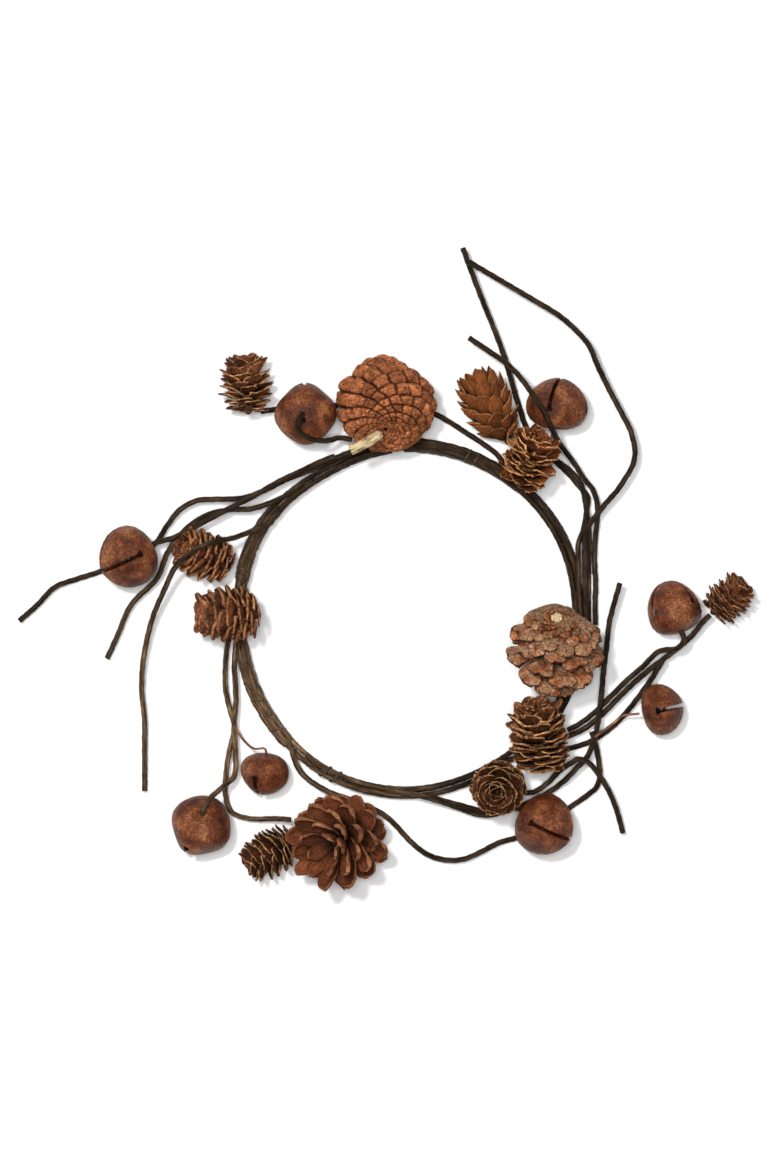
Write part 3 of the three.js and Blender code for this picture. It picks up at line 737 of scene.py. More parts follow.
def finish_cone(name, cone, sizes):
    """Roughens a cone that was grown up the Z axis, stands it in its place and adds it to the scene.
    Each of its swells is a way across the table, a reach in millimetres and a spread."""
    wobble, material, slot = sizes["wobble"], sizes["material"], sizes["slot"]
    for vert in cone.verts:
        vert.co += wobble * noise.noise_vector(vert.co * WIDE_WAVES)
        vert.co += 0.35 * wobble * noise.noise_vector(vert.co * FINE_WAVES)
    turn = Vector((0, 0, 1)).rotation_difference(Vector(sizes["tip"]).normalized())
    where = Matrix.Translation((Vector(sizes["base"]) + RING_CENTRE) * MILLIMETRE)
    place = where @ turn.to_matrix().to_4x4() @ Matrix.Scale(MILLIMETRE, 4)
    bmesh.ops.transform(cone, matrix=place, verts=cone.verts)
    middle = place @ Vector((0, 0, sizes["length"] / 2))
    for vert in cone.verts:
        way = (vert.co - middle).normalized()
        for (x, y), reach, spread in sizes.get("swells", []):
            outward = Vector((x, y, 0)).normalized()
            near = math.exp(-(way.angle(outward, 3.0) / math.radians(spread)) ** 2)
            vert.co += reach * near * MILLIMETRE * outward
    inside_box(cone)
    for face in cone.faces:
        face.smooth = True
    piece = finished("grown_" + name, cone)
    piece.data.set_sharp_from_angle(angle=CONE_SHARP)
    piece.data.materials.append(material)
    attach(piece, "root")
    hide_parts(name)


def dry_scales():
    """Dry cone scales: dark at the root, which is painted shade where the scales cover each other,
    with a rim that is worn pale on the small cones and dark on the pine cones, where it is painted
    shade along the grooves between pads. Marks are a point's place along and across its scale and
    the scale's own number, and the spot is the scale's blunt point, which on the shut cone also
    carries painted shade along its grooves. Pale is the share of scales that have lost their skin,
    Ridged ones have fine ridges that fan out from their point, and Lit From is where along a scale
    the root's painted shade ends. The grain's colour is partly its own and partly a painted
    highlight on its ridges and painted shade in its furrows."""
    group, nodes, links, given, out = new_group("dry scales", {
        "Object": "Vector", "Marks": "Color", "Spot And Groove Shade": "Float", "Root Shade And Point": "Color",
        "Body": "Color", "Edge Wear And Shade": "Color", "Rim": "Float", "Bright": "Float", "Grey": "Float",
        "Pale": "Float", "Ridged": "Float", "Grain And Ridge Highlight": "Float", "Lit From": "Float",
    })
    parts = nodes.new("ShaderNodeSeparateColor")
    links.new(given["Marks"], parts.inputs["Color"])
    along, across, own = (parts.outputs[k] for k in ("Red", "Green", "Blue"))
    grain = speckle(nodes, links, given["Object"], 850.0, 6.0, 0.75).outputs["Fac"]
    blotch = speckle(nodes, links, given["Object"], 130.0, 4.0, 0.55).outputs["Fac"]

    def put(value, socket):
        if isinstance(value, tuple):
            socket.default_value = (*value, 1.0)
        elif isinstance(value, float):
            socket.default_value = value
        else:
            links.new(value, socket)

    def mixed(factor, first, second, blend="MIX"):
        mix = nodes.new("ShaderNodeMix")
        mix.data_type = "RGBA"
        mix.blend_type = blend
        put(factor, mix.inputs[0])
        put(first, mix.inputs[6])
        put(second, mix.inputs[7])
        return mix.outputs[2]

    def ramped(source, low, high, start=0.0, end=1.0, kind="SMOOTHSTEP"):
        ramp = nodes.new("ShaderNodeMapRange")
        ramp.interpolation_type = kind
        put(source, ramp.inputs["Value"])
        put(low, ramp.inputs["From Min"])
        put(high, ramp.inputs["From Max"])
        put(start, ramp.inputs["To Min"])
        put(end, ramp.inputs["To Max"])
        return ramp.outputs["Result"]

    def combined(operation, first, second):
        both = nodes.new("ShaderNodeMath")
        both.operation = operation
        put(first, both.inputs[0])
        put(second, both.inputs[1])
        return both.outputs["Value"]

    def if_ridged(ridged, plain):
        chosen = nodes.new("ShaderNodeMix")
        put(given["Ridged"], chosen.inputs["Factor"])
        put(plain, chosen.inputs["A"])
        put(ridged, chosen.inputs["B"])
        return chosen.outputs["Result"]

    inner = combined("SUBTRACT", 1.0, given["Rim"])
    rim_mask = combined("MAXIMUM", ramped(along, inner, 1.0), ramped(across, inner, 1.0))
    # On ridged scales the whole rim takes the edge colour, which on the pine cones is dark painted
    # shade along the grooves. On the others only worn blotches of the rim take it.
    worn = combined("MULTIPLY", rim_mask, if_ridged(1.0, ramped(blotch, 0.30, 0.50)))
    light = combined("MULTIPLY", combined("ADD", own, blotch), 0.5)
    brighter = combined("SUBTRACT", given["Bright"], 1.0)
    tone = combined(
        "ADD", ramped(light, 0.2, 0.5, 0.55, 1.0, "LINEAR"),
        ramped(light, 0.5, 0.8, 0.0, brighter, "LINEAR"),
    )
    body = mixed(1.0, given["Body"], tone, "MULTIPLY")
    # Painted shade: the root colour darkens each scale from its root up to Lit From, where the
    # scales cover each other's roots.
    colour = mixed(ramped(along, 0.1, given["Lit From"]), given["Root Shade And Point"], body)
    weathered = combined("MULTIPLY", ramped(blotch, 0.38, 0.58), given["Grey"])
    colour = mixed(weathered, colour, (0.33, 0.20, 0.115))
    bare = ramped(
        own, combined("SUBTRACT", 1.0, given["Pale"]), combined("SUBTRACT", 1.005, given["Pale"]),
    )
    bare = combined("MULTIPLY", bare, ramped(along, 0.35, 0.6))
    colour = mixed(combined("MULTIPLY", bare, 0.8), colour, given["Edge Wear And Shade"])
    colour = mixed(worn, colour, given["Edge Wear And Shade"])
    # The spot takes the root colour: the scale's blunt point, and on the shut cone painted shade
    # along the grooves.
    colour = mixed(combined("MULTIPLY", given["Spot And Groove Shade"], 0.8), colour, given["Root Shade And Point"])
    fan = nodes.new("ShaderNodeCombineXYZ")
    turn = combined("ARCTAN2", combined("SUBTRACT", along, 0.66), across)
    turn, ribs = combined("MULTIPLY", turn, 11.0), combined("MULTIPLY", across, 6.0)
    put(if_ridged(turn, ribs), fan.inputs["X"])
    put(combined("MULTIPLY", own, 60.0), fan.inputs["Y"])
    put(if_ridged(0.0, combined("MULTIPLY", along, 1.2)), fan.inputs["Z"])
    lines = speckle(nodes, links, fan.outputs["Vector"], 1.0, 3.0, 0.6).outputs["Fac"]
    height = combined("ADD", grain, combined("MULTIPLY", lines, 0.8))
    # The grain's height also colours the scale: partly its own grain and ridges, and partly a
    # painted highlight on the ridges and painted shade in the furrows, as strongly as the grain's
    # strength sets.
    shade = colour_steps(nodes, [
        (0.0, (0.20, 0.17, 0.15)), (0.4, (0.80, 0.78, 0.76)), (0.7, (1.4, 1.4, 1.4)),
        (1.0, (2.3, 2.4, 2.6)),
    ])
    put(ramped(height, 0.70, 1.10, kind="LINEAR"), shade.inputs["Fac"])
    colour = mixed(given["Grain And Ridge Highlight"], colour, shade.outputs["Color"], "MULTIPLY")
    put(colour, out["Colour"])
    put(height, out["Height"])
    return group


DRY_SCALES = dry_scales()


# The root colour is painted shade at the scales' roots and in the shut cone's grooves, and also the
# colour of the blunt point. The edge colour is worn pale on the small cones and dark painted shade
# on the pine cones. The grain's strength sets how much of the grain's own colour and of its painted
# highlight shows.
def scale_material(
    name, root, body, edge_wear_and_shade, rim, bright, grey=0.0, pale=0.0, ridged=False, grain_and_ridge_highlight=1.0,
    lit_from=0.7,
):
    made, nodes, links, shader, scales = grouped_material(name, DRY_SCALES, ["Object"], {
        "Root Shade And Point": root, "Body": body, "Edge Wear And Shade": edge_wear_and_shade, "Rim": rim, "Bright": bright, "Grey": grey,
        "Pale": pale, "Ridged": float(ridged), "Grain And Ridge Highlight": grain_and_ridge_highlight, "Lit From": lit_from,
    })
    marks = nodes.new("ShaderNodeAttribute")
    marks.attribute_name = "scale"
    links.new(marks.outputs["Color"], scales.inputs["Marks"])
    links.new(marks.outputs["Alpha"], scales.inputs["Spot And Groove Shade"])
    shader.inputs["Roughness"].default_value = 0.75
    shader.inputs["Specular IOR Level"].default_value = 0.08
    bump = relief(nodes, links, scales.outputs["Height"], 0.0005 if ridged else 0.0009)
    links.new(bump.outputs["Normal"], shader.inputs["Normal"])
    return made


LARCH_BROWN = scale_material(
    "brown larch scales", (0.010, 0.004, 0.002), (0.125, 0.042, 0.016), (0.40, 0.20, 0.086),
    0.045, 2.3, pale=0.04,
)
LARCH_DARK = scale_material(
    "dark larch scales", (0.007, 0.003, 0.001), (0.062, 0.020, 0.008), (0.38, 0.20, 0.088),
    0.045, 2.4,
)
LARCH_RED = scale_material(
    "red larch scales", (0.008, 0.003, 0.001), (0.115, 0.035, 0.014), (0.31, 0.132, 0.056),
    0.03, 2.5, grey=0.15,
)
LARCH_ORANGE = scale_material(
    "orange cone scales", (0.024, 0.007, 0.002), (0.195, 0.060, 0.016), (0.34, 0.155, 0.062),
    0.035, 1.3, grain_and_ridge_highlight=0.6,
)
LARCH_GOLD = scale_material(
    "papery larch scales", (0.010, 0.004, 0.002), (0.115, 0.032, 0.011), (0.60, 0.29, 0.11),
    0.04, 2.6, pale=0.12,
)

# Lengths in millimetres. lean is each scale's angle from the tip at the cone's base and at
# its tip, width a share of the cone's radius, cup how far a scale's sides rise, bow how far
# its middle stands out, curl how far its end turns out, point how sharp its end is. A cone
# with a reach has scales of that share of its radius on a thick core, like roof tiles.
SMALL_CONES = {
    "small_cone_a": dict(
        length=29, radius=13.0, base=(-77.5, 98.9, 12.6), tip=(-0.08, 0.98, 0.17),
        count=58, lean=(86, 30), width=0.72, cup=0.10, bow=0.03, curl=0.03, material=LARCH_BROWN,
    ),
    "small_cone_b": dict(
        length=36, radius=14.6, base=(45.8, 88.4, 11.8), tip=(-0.46, 0.88, 0.1), point=0.72,
        count=44, lean=(60, 6), width=0.62, cup=0.20, bow=0.07, curl=-0.05, reach=1.0,
        material=LARCH_ORANGE, ragged=0.02, wobble=0.10, thick=0.055, slot="closed_cone",
        core=0.62,
    ),
    "small_cone_c": dict(
        length=28, radius=13.2, base=(52.3, 65.4, 19.3), tip=(0.34, 0.84, 0.42),
        count=44, lean=(98, 22), width=1.05, cup=0.20, bow=0.02, curl=0.02, material=LARCH_GOLD,
        ragged=0.26,
    ),
    "small_cone_d": dict(
        length=35, radius=14.6, base=(63.2, -71.9, 17.8), tip=(-0.1, 0.95, 0.30),
        count=56, lean=(96, 24), width=1.05, cup=0.14, bow=0.03, curl=0.02, material=LARCH_BROWN,
        ragged=0.2, thick=0.11,
    ),
    "small_cone_e": dict(
        length=29, radius=13.4, base=(43.7, -76.9, 7.2), tip=(-0.1, -0.15, 0.98),
        count=50, lean=(88, 12), width=0.96, cup=0.16, bow=0.03, curl=0.0, material=LARCH_DARK,
        ragged=0.12,
    ),
    "small_cone_f": dict(
        length=23, radius=10.8, base=(144.2, 3.3, 10.6), tip=(0.72, 0.66, 0.2), point=0.55,
        count=54, lean=(86, 28), width=0.95, cup=0.12, bow=0.02, curl=0.05, material=LARCH_RED,
    ),
    "small_cone_g": dict(
        length=28.5, radius=12.0, base=(-54.2, -103.4, 10.6), tip=(-0.86, -0.48, 0.15),
        count=54, lean=(84, 36), width=0.92, cup=0.14, bow=0.03, curl=0.0, material=LARCH_DARK,
    ),
    "small_cone_h": dict(
        length=29, radius=12.2, base=(-85.5, 26.3, 8.8), tip=(-0.86, 0.36, 0.35),
        count=44, lean=(80, 34), width=0.98, cup=0.14, bow=0.05, curl=0.0, material=LARCH_RED,
        thick=0.20,
    ),
    "small_cone_i": dict(
        length=32, radius=13.8, base=(-70.6, 3.8, 22.5), tip=(-0.98, 0, 0.15),
        count=48, lean=(84, 36), width=1.04, cup=0.14, bow=0.05, curl=0.02, material=LARCH_RED,
        thick=0.19,
    ),
}


CONE_WIDEST = 0.36


def cone_profile(share):
    """How wide a cone is along its length, as a share of its widest."""
    reach = 0.5 if share < CONE_WIDEST else 0.68
    return math.sqrt(max(0.05, 1 - ((share - CONE_WIDEST) / reach) ** 2))


def spiral_cone(name, sizes, forms):
    """Grows a cone's scales in a spiral round its core, each a little off its due place."""
    draw = random.Random(name)
    length, radius, twist = sizes["length"], sizes["radius"], sizes["twist"]
    cone = bmesh.new()
    cone.verts.layers.float_color.new("scale")
    for i in range(sizes["count"]):
        share = (i + 0.5) / sizes["count"]
        girth = cone_profile(share)
        rim = radius * girth * draw.uniform(0.92, 1.02)
        root = sizes["root_at"](radius, share)
        lean = math.radians(between(*sizes["lean"], share) + draw.uniform(-5, 5))
        height = length * (sizes["lowest"] + sizes["rise"] * share)
        reach = (rim - root) / max(math.sin(lean), sizes["steepest"])
        if "reach" in sizes:
            reach = sizes["reach"] * radius * between(0.5, 1.0, girth)
            root = max(0.3, rim - reach * math.sin(lean))
            height -= 0.35 * reach
        if lean < math.pi / 2:
            reach = min(reach, (length - height) / math.cos(lean))
        width = sizes["width"] * radius * between(sizes["narrowest"], 1.0, girth)
        width *= draw.uniform(*sizes["widths"])
        way = GOLDEN_TURN * i + math.radians(draw.uniform(-4, 4))
        out = Vector((math.cos(way), math.sin(way), 0.0))
        growth = math.sin(lean) * out + math.cos(lean) * UP
        face = math.sin(lean) * UP - math.cos(lean) * out
        face += math.tan(math.radians(draw.uniform(-twist, twist))) * growth.cross(face)
        place = standing(root * out + height * UP, growth, face, width, reach, reach)
        add_scale(cone, draw.choice(forms), place, draw.random())
    add_core(cone, sizes["core"] * radius, length, 0.02, sizes["core_top"])
    for form in forms:
        bpy.data.meshes.remove(form)
    finish_cone(name, cone, sizes)


def larch_root(radius, share):
    return SMALL_CORE * radius * cone_profile(0.1 + 0.8 * share) * (1 - 0.8 * share ** 3)


# What the small cones have in common, where one of them gives no other value. Scales start at
# the lowest share of the cone's length and spread over the rise. steepest is the least sine of
# a lean that a scale's length is worked out from, narrowest the width of a scale where the
# cone has none, as a share of the full one, and twist how far a scale turns, in degrees.
SMALL_CORE = 0.30
SMALL_HABIT = dict(
    point=0.5, ragged=0.12, thick=0.09, core=SMALL_CORE, core_top=0.80, root_at=larch_root,
    lowest=0.06, rise=0.80, steepest=0.42, narrowest=0.40, widths=(0.90, 1.06), twist=6,
    wobble=0.3, slot="small_cone",
)


def larch_cone(name, sizes):
    """A small cone of thin scales that are blunt or pointed at their ends."""
    def outline(s):
        spread = 0.30 + 0.70 * math.sin(min(1.0, s / 0.6) * math.pi / 2)
        rounding = max(0.0, 1 - (max(0.0, s - 0.5) / 0.5) ** 2) ** sizes["point"]
        return 0.5 * spread * max(0.12, rounding)

    def crown(x, s):
        middle = sizes["cup"] * x * x - 4 * sizes["bow"] * s * (1 - s)
        middle -= sizes["curl"] * s ** 3
        thickness = sizes["thick"] * (1 - 0.5 * s)
        return middle + thickness / 2, middle - thickness / 2

    spiral_cone(name, sizes, scale_forms(6, 8, outline, crown, sizes["ragged"]))


for cone_name, cone_sizes in SMALL_CONES.items():
    larch_cone(cone_name, {**SMALL_HABIT, **cone_sizes})


# Closed pine cones, at the top and on the right: thick woody scales that overlap like roof
# tiles from the base up, each ending in a domed pad with a small blunt point in its middle.
# The pine cones' edge colour is dark: painted shade along the grooves between their pads.
PINE_WARM = scale_material(
    "closed pine scales", (0.010, 0.003, 0.001), (0.33, 0.109, 0.042), (0.030, 0.010, 0.004),
    0.09, 1.4, ridged=True, lit_from=0.5,
)
PINE_GREY = scale_material(
    "weathered pine scales", (0.012, 0.004, 0.002), (0.29, 0.100, 0.041), (0.030, 0.011, 0.005),
    0.08, 1.6, grey=0.7, ridged=True, lit_from=0.68,
)


PAD_WIDEST = 0.6


def pad_outline(s):
    """A rhombus with blunt side corners, widest past its middle."""
    if s < PAD_WIDEST:
        return 0.5 * (0.3 + 0.7 * s / PAD_WIDEST)
    return 0.5 * (1 - 0.80 * ((s - PAD_WIDEST) / 0.4) ** 1.3)


def pad_crown(x, s):
    """A closed scale's pad: a low cushion that drops to a groove all round, with a faint
    ridge across it, and a wedge of wood behind it."""
    u = min(1.0, abs(x) / (2 * pad_outline(s)))
    past = (s - 0.66) / (0.34 if s > 0.66 else 0.9)
    dome = 0.10 * max(0.0, 1 - u ** 6) ** 0.5 * max(0.0, 1 - past ** 6) ** 0.5
    ridge = 0.05 * max(0.0, 1 - abs(s - 0.64) / 0.3) * (1 - u * u)
    bend = 0.42 * (s - 0.62) ** 2 + 0.12 * x * x
    return dome + ridge - bend, -0.10 - 0.20 * (1 - s) ** 2 * (1 - 0.6 * u * u) - bend


def pad_spot(u, s):
    return max(0.0, 1 - ((s - 0.64) ** 2 / 0.004 + u * u / 0.02))


LIP_WIDEST = 0.78


def lip_outline(s):
    """An opened scale: a blade that widens to a blunt lens."""
    if s < LIP_WIDEST:
        return 0.5 * (0.4 + 0.6 * s / LIP_WIDEST)
    return 0.5 * math.sqrt(max(0.02, 1 - ((s - LIP_WIDEST) / 0.22) ** 2))


def lip_crown(x, s):
    """An opened scale's end: a lens, thick in its middle and thin at its corners."""
    u = min(1.0, abs(x) / (2 * lip_outline(s)))
    swollen = math.sqrt(max(0.0, 1 - ((s - 0.81) / 0.21) ** 2)) * (1 - u * u) ** 0.7
    back = 0.10 * s * (1 - s) + 0.06 * x * x
    return 0.02 + 0.085 * swollen - back, -0.02 - 0.06 * swollen - back


OPENED_FROM = 0.25


def half_open_cone(name, sizes):
    """Scales that grow with the cone's girth, so they stay alike in shape from base to tip:
    shut pads first, and opened blades from where the cone has begun to open."""
    draw = random.Random(name)
    length, radius = sizes["length"], sizes["radius"]
    pads = scale_forms(8, 9, pad_outline, pad_crown, 0.06, pad_spot)
    lips = scale_forms(8, 12, lip_outline, lip_crown, 0.12)
    cone = bmesh.new()
    cone.verts.layers.float_color.new("scale")
    course, opened = math.log(math.tan(math.radians(sizes["first"]) / 2)), 0.0
    for i in range(sizes["count"]):
        course += sizes["spacing"] * (1 + sizes["loose"] * opened)
        polar = 2 * math.atan(math.exp(course))
        opened = eased(*sizes["opens"], math.degrees(polar))
        way = GOLDEN_TURN * i
        out = Vector((math.cos(way), math.sin(way), 0.0))
        girth = math.sin(polar) * (1 - sizes["taper"] * max(0.0, -math.cos(polar)))
        centre = radius * girth * out + length / 2 * (1 - math.cos(polar)) * UP
        tangent = (radius * math.cos(polar) * out + length / 2 * girth * UP).normalized()
        normal = (length / 2 * girth * out - radius * math.cos(polar) * UP).normalized()
        lift = math.radians(between(*sizes["lift"], opened) + draw.uniform(-4, 6))
        growth = math.cos(lift) * tangent + math.sin(lift) * normal
        face = math.cos(lift) * normal - math.sin(lift) * tangent
        size = radius * girth * draw.uniform(0.92, 1.07)
        width = sizes["wide"] * size
        reach = between(*sizes["tall"], opened) * size
        if opened > OPENED_FROM:
            kinds = lips
            root = centre - 0.94 * reach * growth
            place = standing(root, growth, face, 1.05 * width, reach, 0.8 * reach)
        else:
            kinds = pads
            sunk = between(*sizes["sunk"], opened) * width
            root = centre - 0.62 * reach * growth - sunk * normal
            place = standing(root, growth, face, width, reach, sizes["dome"] * width)
        add_scale(cone, draw.choice(kinds), place, draw.random())
    add_core(cone, sizes["core"] * radius, length, *sizes["core_span"])
    for form in pads + lips:
        bpy.data.meshes.remove(form)
    finish_cone(name, cone, sizes)


SHUT_ROUND = 310
SHUT_UP = 250
NEAR_POLE = 0.02
WAY_DRIFT = 0.05
ROW_DRIFT = 1.2
HEIGHT_DRIFT = 0.05
# Shares of a pad's size: how far in from its groove it goes on rising, half the width of the
# ridge across it, and the reach of its point
PAD_RISE = 0.80
PAD_RIDGE = 0.16
PAD_POINT = 0.13


def shut_cone(name, sizes):
    """A cone that is shut tight, with pads that meet in narrow grooves. On the unrolled
    surface each point belongs to the nearest pad, and where two are as near it is a groove."""
    draw = random.Random(name)
    length, radius, flat = sizes["length"], sizes["radius"], sizes["flat"]
    size = math.sqrt(math.tau * sizes["spacing"] * flat)
    pads, nearest = [], kdtree.KDTree(3 * sizes["count"])
    first = math.log(math.tan(math.radians(sizes["first"]) / 2))
    for i in range(sizes["count"]):
        way = (GOLDEN_TURN * i) % math.tau + draw.uniform(-WAY_DRIFT, WAY_DRIFT)
        height = flat * (first + sizes["spacing"] * (i + draw.uniform(-ROW_DRIFT, ROW_DRIFT)))
        for turn in (-math.tau, 0.0, math.tau):
            nearest.insert(Vector((way + turn, height, 0.0)), len(pads))
            tint = draw.random()
            high = draw.uniform(-HEIGHT_DRIFT, HEIGHT_DRIFT)
            pads.append((way + turn, height, tint, high))
    nearest.balance()
    cone = bmesh.new()
    marks = cone.verts.layers.float_color.new("scale")
    bmesh.ops.create_uvsphere(cone, u_segments=SHUT_ROUND, v_segments=SHUT_UP, radius=1.0)
    for vert in cone.verts:
        polar = math.acos(max(-1.0, min(1.0, -vert.co.z)))
        polar = max(NEAR_POLE, min(math.pi - NEAR_POLE, polar))
        here = math.atan2(vert.co.y, vert.co.x) % math.tau, flat * math.log(math.tan(polar / 2))
        found = nearest.find_n(Vector((*here, 0.0)), 2)
        way, height, tint, high = pads[found[0][1]]
        inside = (found[1][2] - found[0][2]) / size
        over, up = (here[0] - way) / size, (here[1] - height) / size
        rise = min(1.0, inside / PAD_RISE)
        bulge = sizes["dome"] * math.sqrt(rise * (2 - rise)) + sizes["tilt"] * up + high
        bulge += 0.05 * max(0.0, 1 - abs(up) / PAD_RIDGE) * rise
        point = max(0.0, 1 - math.hypot(up, over) / PAD_POINT)
        # Painted shade: the colour darkens along the grooves between pads, through the spot mark.
        groove_shade = max(0.0, min(1.0, 1.6 * (1 - inside / sizes["groove_shade"])))
        vert[marks] = (0.66 + 0.3 * up, min(0.85, abs(over)), tint, max(groove_shade, 0.8 * point))
        shrink = radius * (1 - sizes["taper"] * max(0.0, vert.co.z))
        place = Vector((shrink * vert.co.x, shrink * vert.co.y, length / 2 * (1 + vert.co.z)))
        outward = Vector((length / 2 * vert.co.x, length / 2 * vert.co.y, radius * vert.co.z))
        lift = radius * math.sin(polar) * size * bulge - sizes["sunk"]
        vert.co = place + lift * outward.normalized()
    finish_cone(name, cone, sizes)


# Lengths in millimetres, angles in degrees. Scales start at the first angle up from the base, and
# each lies one spacing further up the unrolled surface, where all are alike. flat is how far that
# surface is stretched, and dome, tilt and the width of the painted shade along the grooves are
# shares of a pad's size.
shut_cone("big_cone_1", dict(
    length=45, radius=22.4, base=(-11.6, 90.6, 41.2), tip=(0, 0.6, -0.8), count=292,
    spacing=0.019, first=3.5, flat=1.36, dome=0.36, tilt=0.20, groove_shade=0.27, sunk=2.0,
    wobble=0.45, taper=0.10, material=PINE_WARM, slot="closed_cone",
    swells=[((-0.2, 0.98), 1.3, 36), ((-0.74, 0.67), -2.8, 12), ((0.62, 0.78), -2.6, 20),
            ((-0.93, 0.37), 1.4, 12), ((0.95, 0.3), 0.8, 12)],
))
# This cone opens between two angles up from its base, and the second value of a pair is for
# scales that have opened. loose is how much farther apart those are. wide and tall are shares
# of the cone's girth there, and dome and sunk shares of a scale's width.
half_open_cone("big_cone_2", dict(
    length=45, radius=22.6, base=(69.6, 2.0, 45.4), tip=(0, -0.72, -0.69), count=124,
    spacing=0.0305, loose=0.8, first=6.0, wide=0.62, tall=(0.54, 0.66), lift=(4, 74),
    opens=(40, 76), sunk=(0.03, 0.06), core=0.46, core_span=(0.03, 0.92), wobble=0.45,
    taper=0.20, dome=0.75, material=PINE_GREY, slot="closed_cone",
    swells=[((-0.95, 0.1), 1.0, 14), ((-0.8, -0.6), -1.5, 14), ((0.55, 0.83), -2.0, 20)],
))


# The twigs that two of the pine cones grew on: short stubs of pale stringy wood, torn off at
# one end and still grown into the cone at the other.
STUBS = {
    "twig_stub_1": ([(-14.6, 89, 40), (-18.2, 86.8, 43), (-23, 84.2, 44.6), (-28.4, 81.8, 45)], 2.3),
    "twig_stub_2": ([(69.6, 1.2, 44.5), (69.4, 1.9, 47), (69.0, 2.6, 48.8)], 2.2),
}


def straw_material():
    made, nodes, links, shader = new_material("pale torn wood")
    places = nodes.new("ShaderNodeTexCoord")
    stretch = nodes.new("ShaderNodeMapping")
    stretch.inputs["Scale"].default_value = (0.12, 9.0, 1.0)
    links.new(places.outputs["UV"], stretch.inputs["Vector"])
    strings = speckle(nodes, links, stretch.outputs["Vector"], 1.6, 5.0, 0.7)
    colours = colour_steps(nodes, [
        (0.38, (0.13, 0.07, 0.03)), (0.46, (0.50, 0.34, 0.16)), (0.58, (0.86, 0.68, 0.40)),
    ])
    links.new(strings.outputs["Fac"], colours.inputs["Fac"])
    links.new(colours.outputs["Color"], shader.inputs["Base Color"])
    shader.inputs["Roughness"].default_value = 0.75
    bump = relief(nodes, links, strings.outputs["Fac"], 0.0008, 1.0)
    links.new(bump.outputs["Normal"], shader.inputs["Normal"])
    return made


STRAW = straw_material()


def torn_radius(size):
    def radius_at(reach, turn):
        way = math.tau * turn
        string = noise.noise(Vector((0.18 * reach, 3.2 * math.cos(way), 3.2 * math.sin(way))))
        return size * (1 + 0.55 * string)
    return radius_at


for stub_name, (stub_points, stub_size) in STUBS.items():
    stub = round_tube(stub_name, stub_points, 16, 0.5, torn_radius(stub_size))
    stub.data.materials.append(STRAW)
    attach(stub, "root")


# The open pine cone at the bottom, seen on its tip: long spoon-shaped scales that spread
# wide, smooth and brown inside, with a thick pale lip.
PINE_OPEN = scale_material(
    "open pine scales", (0.014, 0.005, 0.003), (0.160, 0.048, 0.020), (0.34, 0.14, 0.062),
    0.03, 1.8, grain_and_ridge_highlight=0.6,
)


def open_outline(s):
    spread = 0.32 + 0.68 * math.sin(min(1.0, s / 0.72) * math.pi / 2)
    rounding = math.sqrt(max(0.0, 1 - (max(0.0, s - 0.66) / 0.34) ** 2))
    return 0.5 * spread * max(0.2, rounding)


def open_crown(x, s):
    """An open scale: a shallow spoon whose end is a thick pad on the lower face."""
    spoon = 0.11 * x * x - 0.10 * math.sin(s * math.pi) + 0.02 * s * s
    lip = 0.02 * max(0.0, 1 - abs(s - 0.95) / 0.07)
    pad = 0.04 + 0.05 * max(0.0, 1 - abs(s - 0.88) / 0.2) * (1 - 0.6 * x * x)
    return spoon + lip, spoon - pad


def open_root(radius, share):
    return 0.12 * radius * (1 - 0.8 * share ** 2)


OPEN_CONE = dict(
    length=40, radius=23.2, base=(-24.0, -100.0, 4.8), tip=(-0.47, -0.22, 0.855), count=48,
    lean=(92, 24), width=0.47, core=0.14, core_top=0.66, root_at=open_root, lowest=0.08,
    rise=0.56, steepest=0.5, narrowest=0.30, widths=(0.88, 1.08), twist=9, wobble=0.4,
    material=PINE_OPEN, slot="open_cone",
)
spiral_cone("big_cone_3", OPEN_CONE, scale_forms(8, 12, open_outline, open_crown, 0.05))


# Jingle bells: a cross of thin steel sheet pressed into a ball, so four slots run up from
# the bottom and each ends in a hole. They were left wet to rust all over.
BELL_WALL = 0.9
SLOT_WIDTH = 2.0
SLOT_END = 4.2
SLOT_TOP = 0.10
BELLS = {
    "bell_1": dict(
        size=30, at=(-49.9, 100.3, 17.65), slots=(0.04, 0.3, -0.95), hole=(-0.05, 0.95, 0.3),
    ),
    "bell_2": dict(
        size=30, at=(70.6, 104.4, 14.23), slots=(0.12, 0.98, 0.12), hole=(-0.29, -0.11, 0.95),
        squash=0.87,
    ),
    "bell_3": dict(
        size=30, at=(64.8, -97.2, 18.28), slots=(0.8, -0.46, 0.38), hole=(-0.45, 0.09, 0.89),
    ),
    "bell_4": dict(
        size=28, at=(126.2, 6.9, 13.03), slots=(-0.3, 0.93, -0.2), hole=(-0.74, -0.07, 0.67),
    ),
    "bell_5": dict(
        size=25, at=(121, -41.8, 12.13), slots=(0.97, 0.2, 0.12), hole=(0, 0, 1), squash=0.84,
    ),
    "bell_6": dict(
        size=30, at=(-100.3, -98.4, 14.32), slots=(-0.1, -0.55, -0.83), hole=(-0.48, -0.76, 0.43),
    ),
    "bell_7": dict(
        size=24, at=(-69.8, -73, 11.18), slots=(-0.1, -0.95, -0.3), hole=(-0.37, -0.24, 0.9),
        squash=0.86,
    ),
    "bell_8": dict(
        size=30, at=(-135.4, 30.7, 18.32), slots=(-0.81, -0.44, 0.38), hole=(0.5, 0.13, 0.85),
    ),
}
# The shell's outline from the slots to the closed end, as shares of its radius
BELL_OUTLINE = [
    (0.0, -0.98), (0.14, -0.97), (0.30, -0.92), (0.48, -0.82), (0.66, -0.67), (0.82, -0.47),
    (0.94, -0.24), (1.0, 0.02), (0.995, 0.24), (0.94, 0.46), (0.82, 0.65), (0.63, 0.79),
    (0.42, 0.87), (0.22, 0.90), (0.09, 0.90),
]
PETAL_PRESS = 0.11
DENT_DEPTH = 0.02
SPUN_STEPS = 64
BELL_SHARP = math.radians(40)


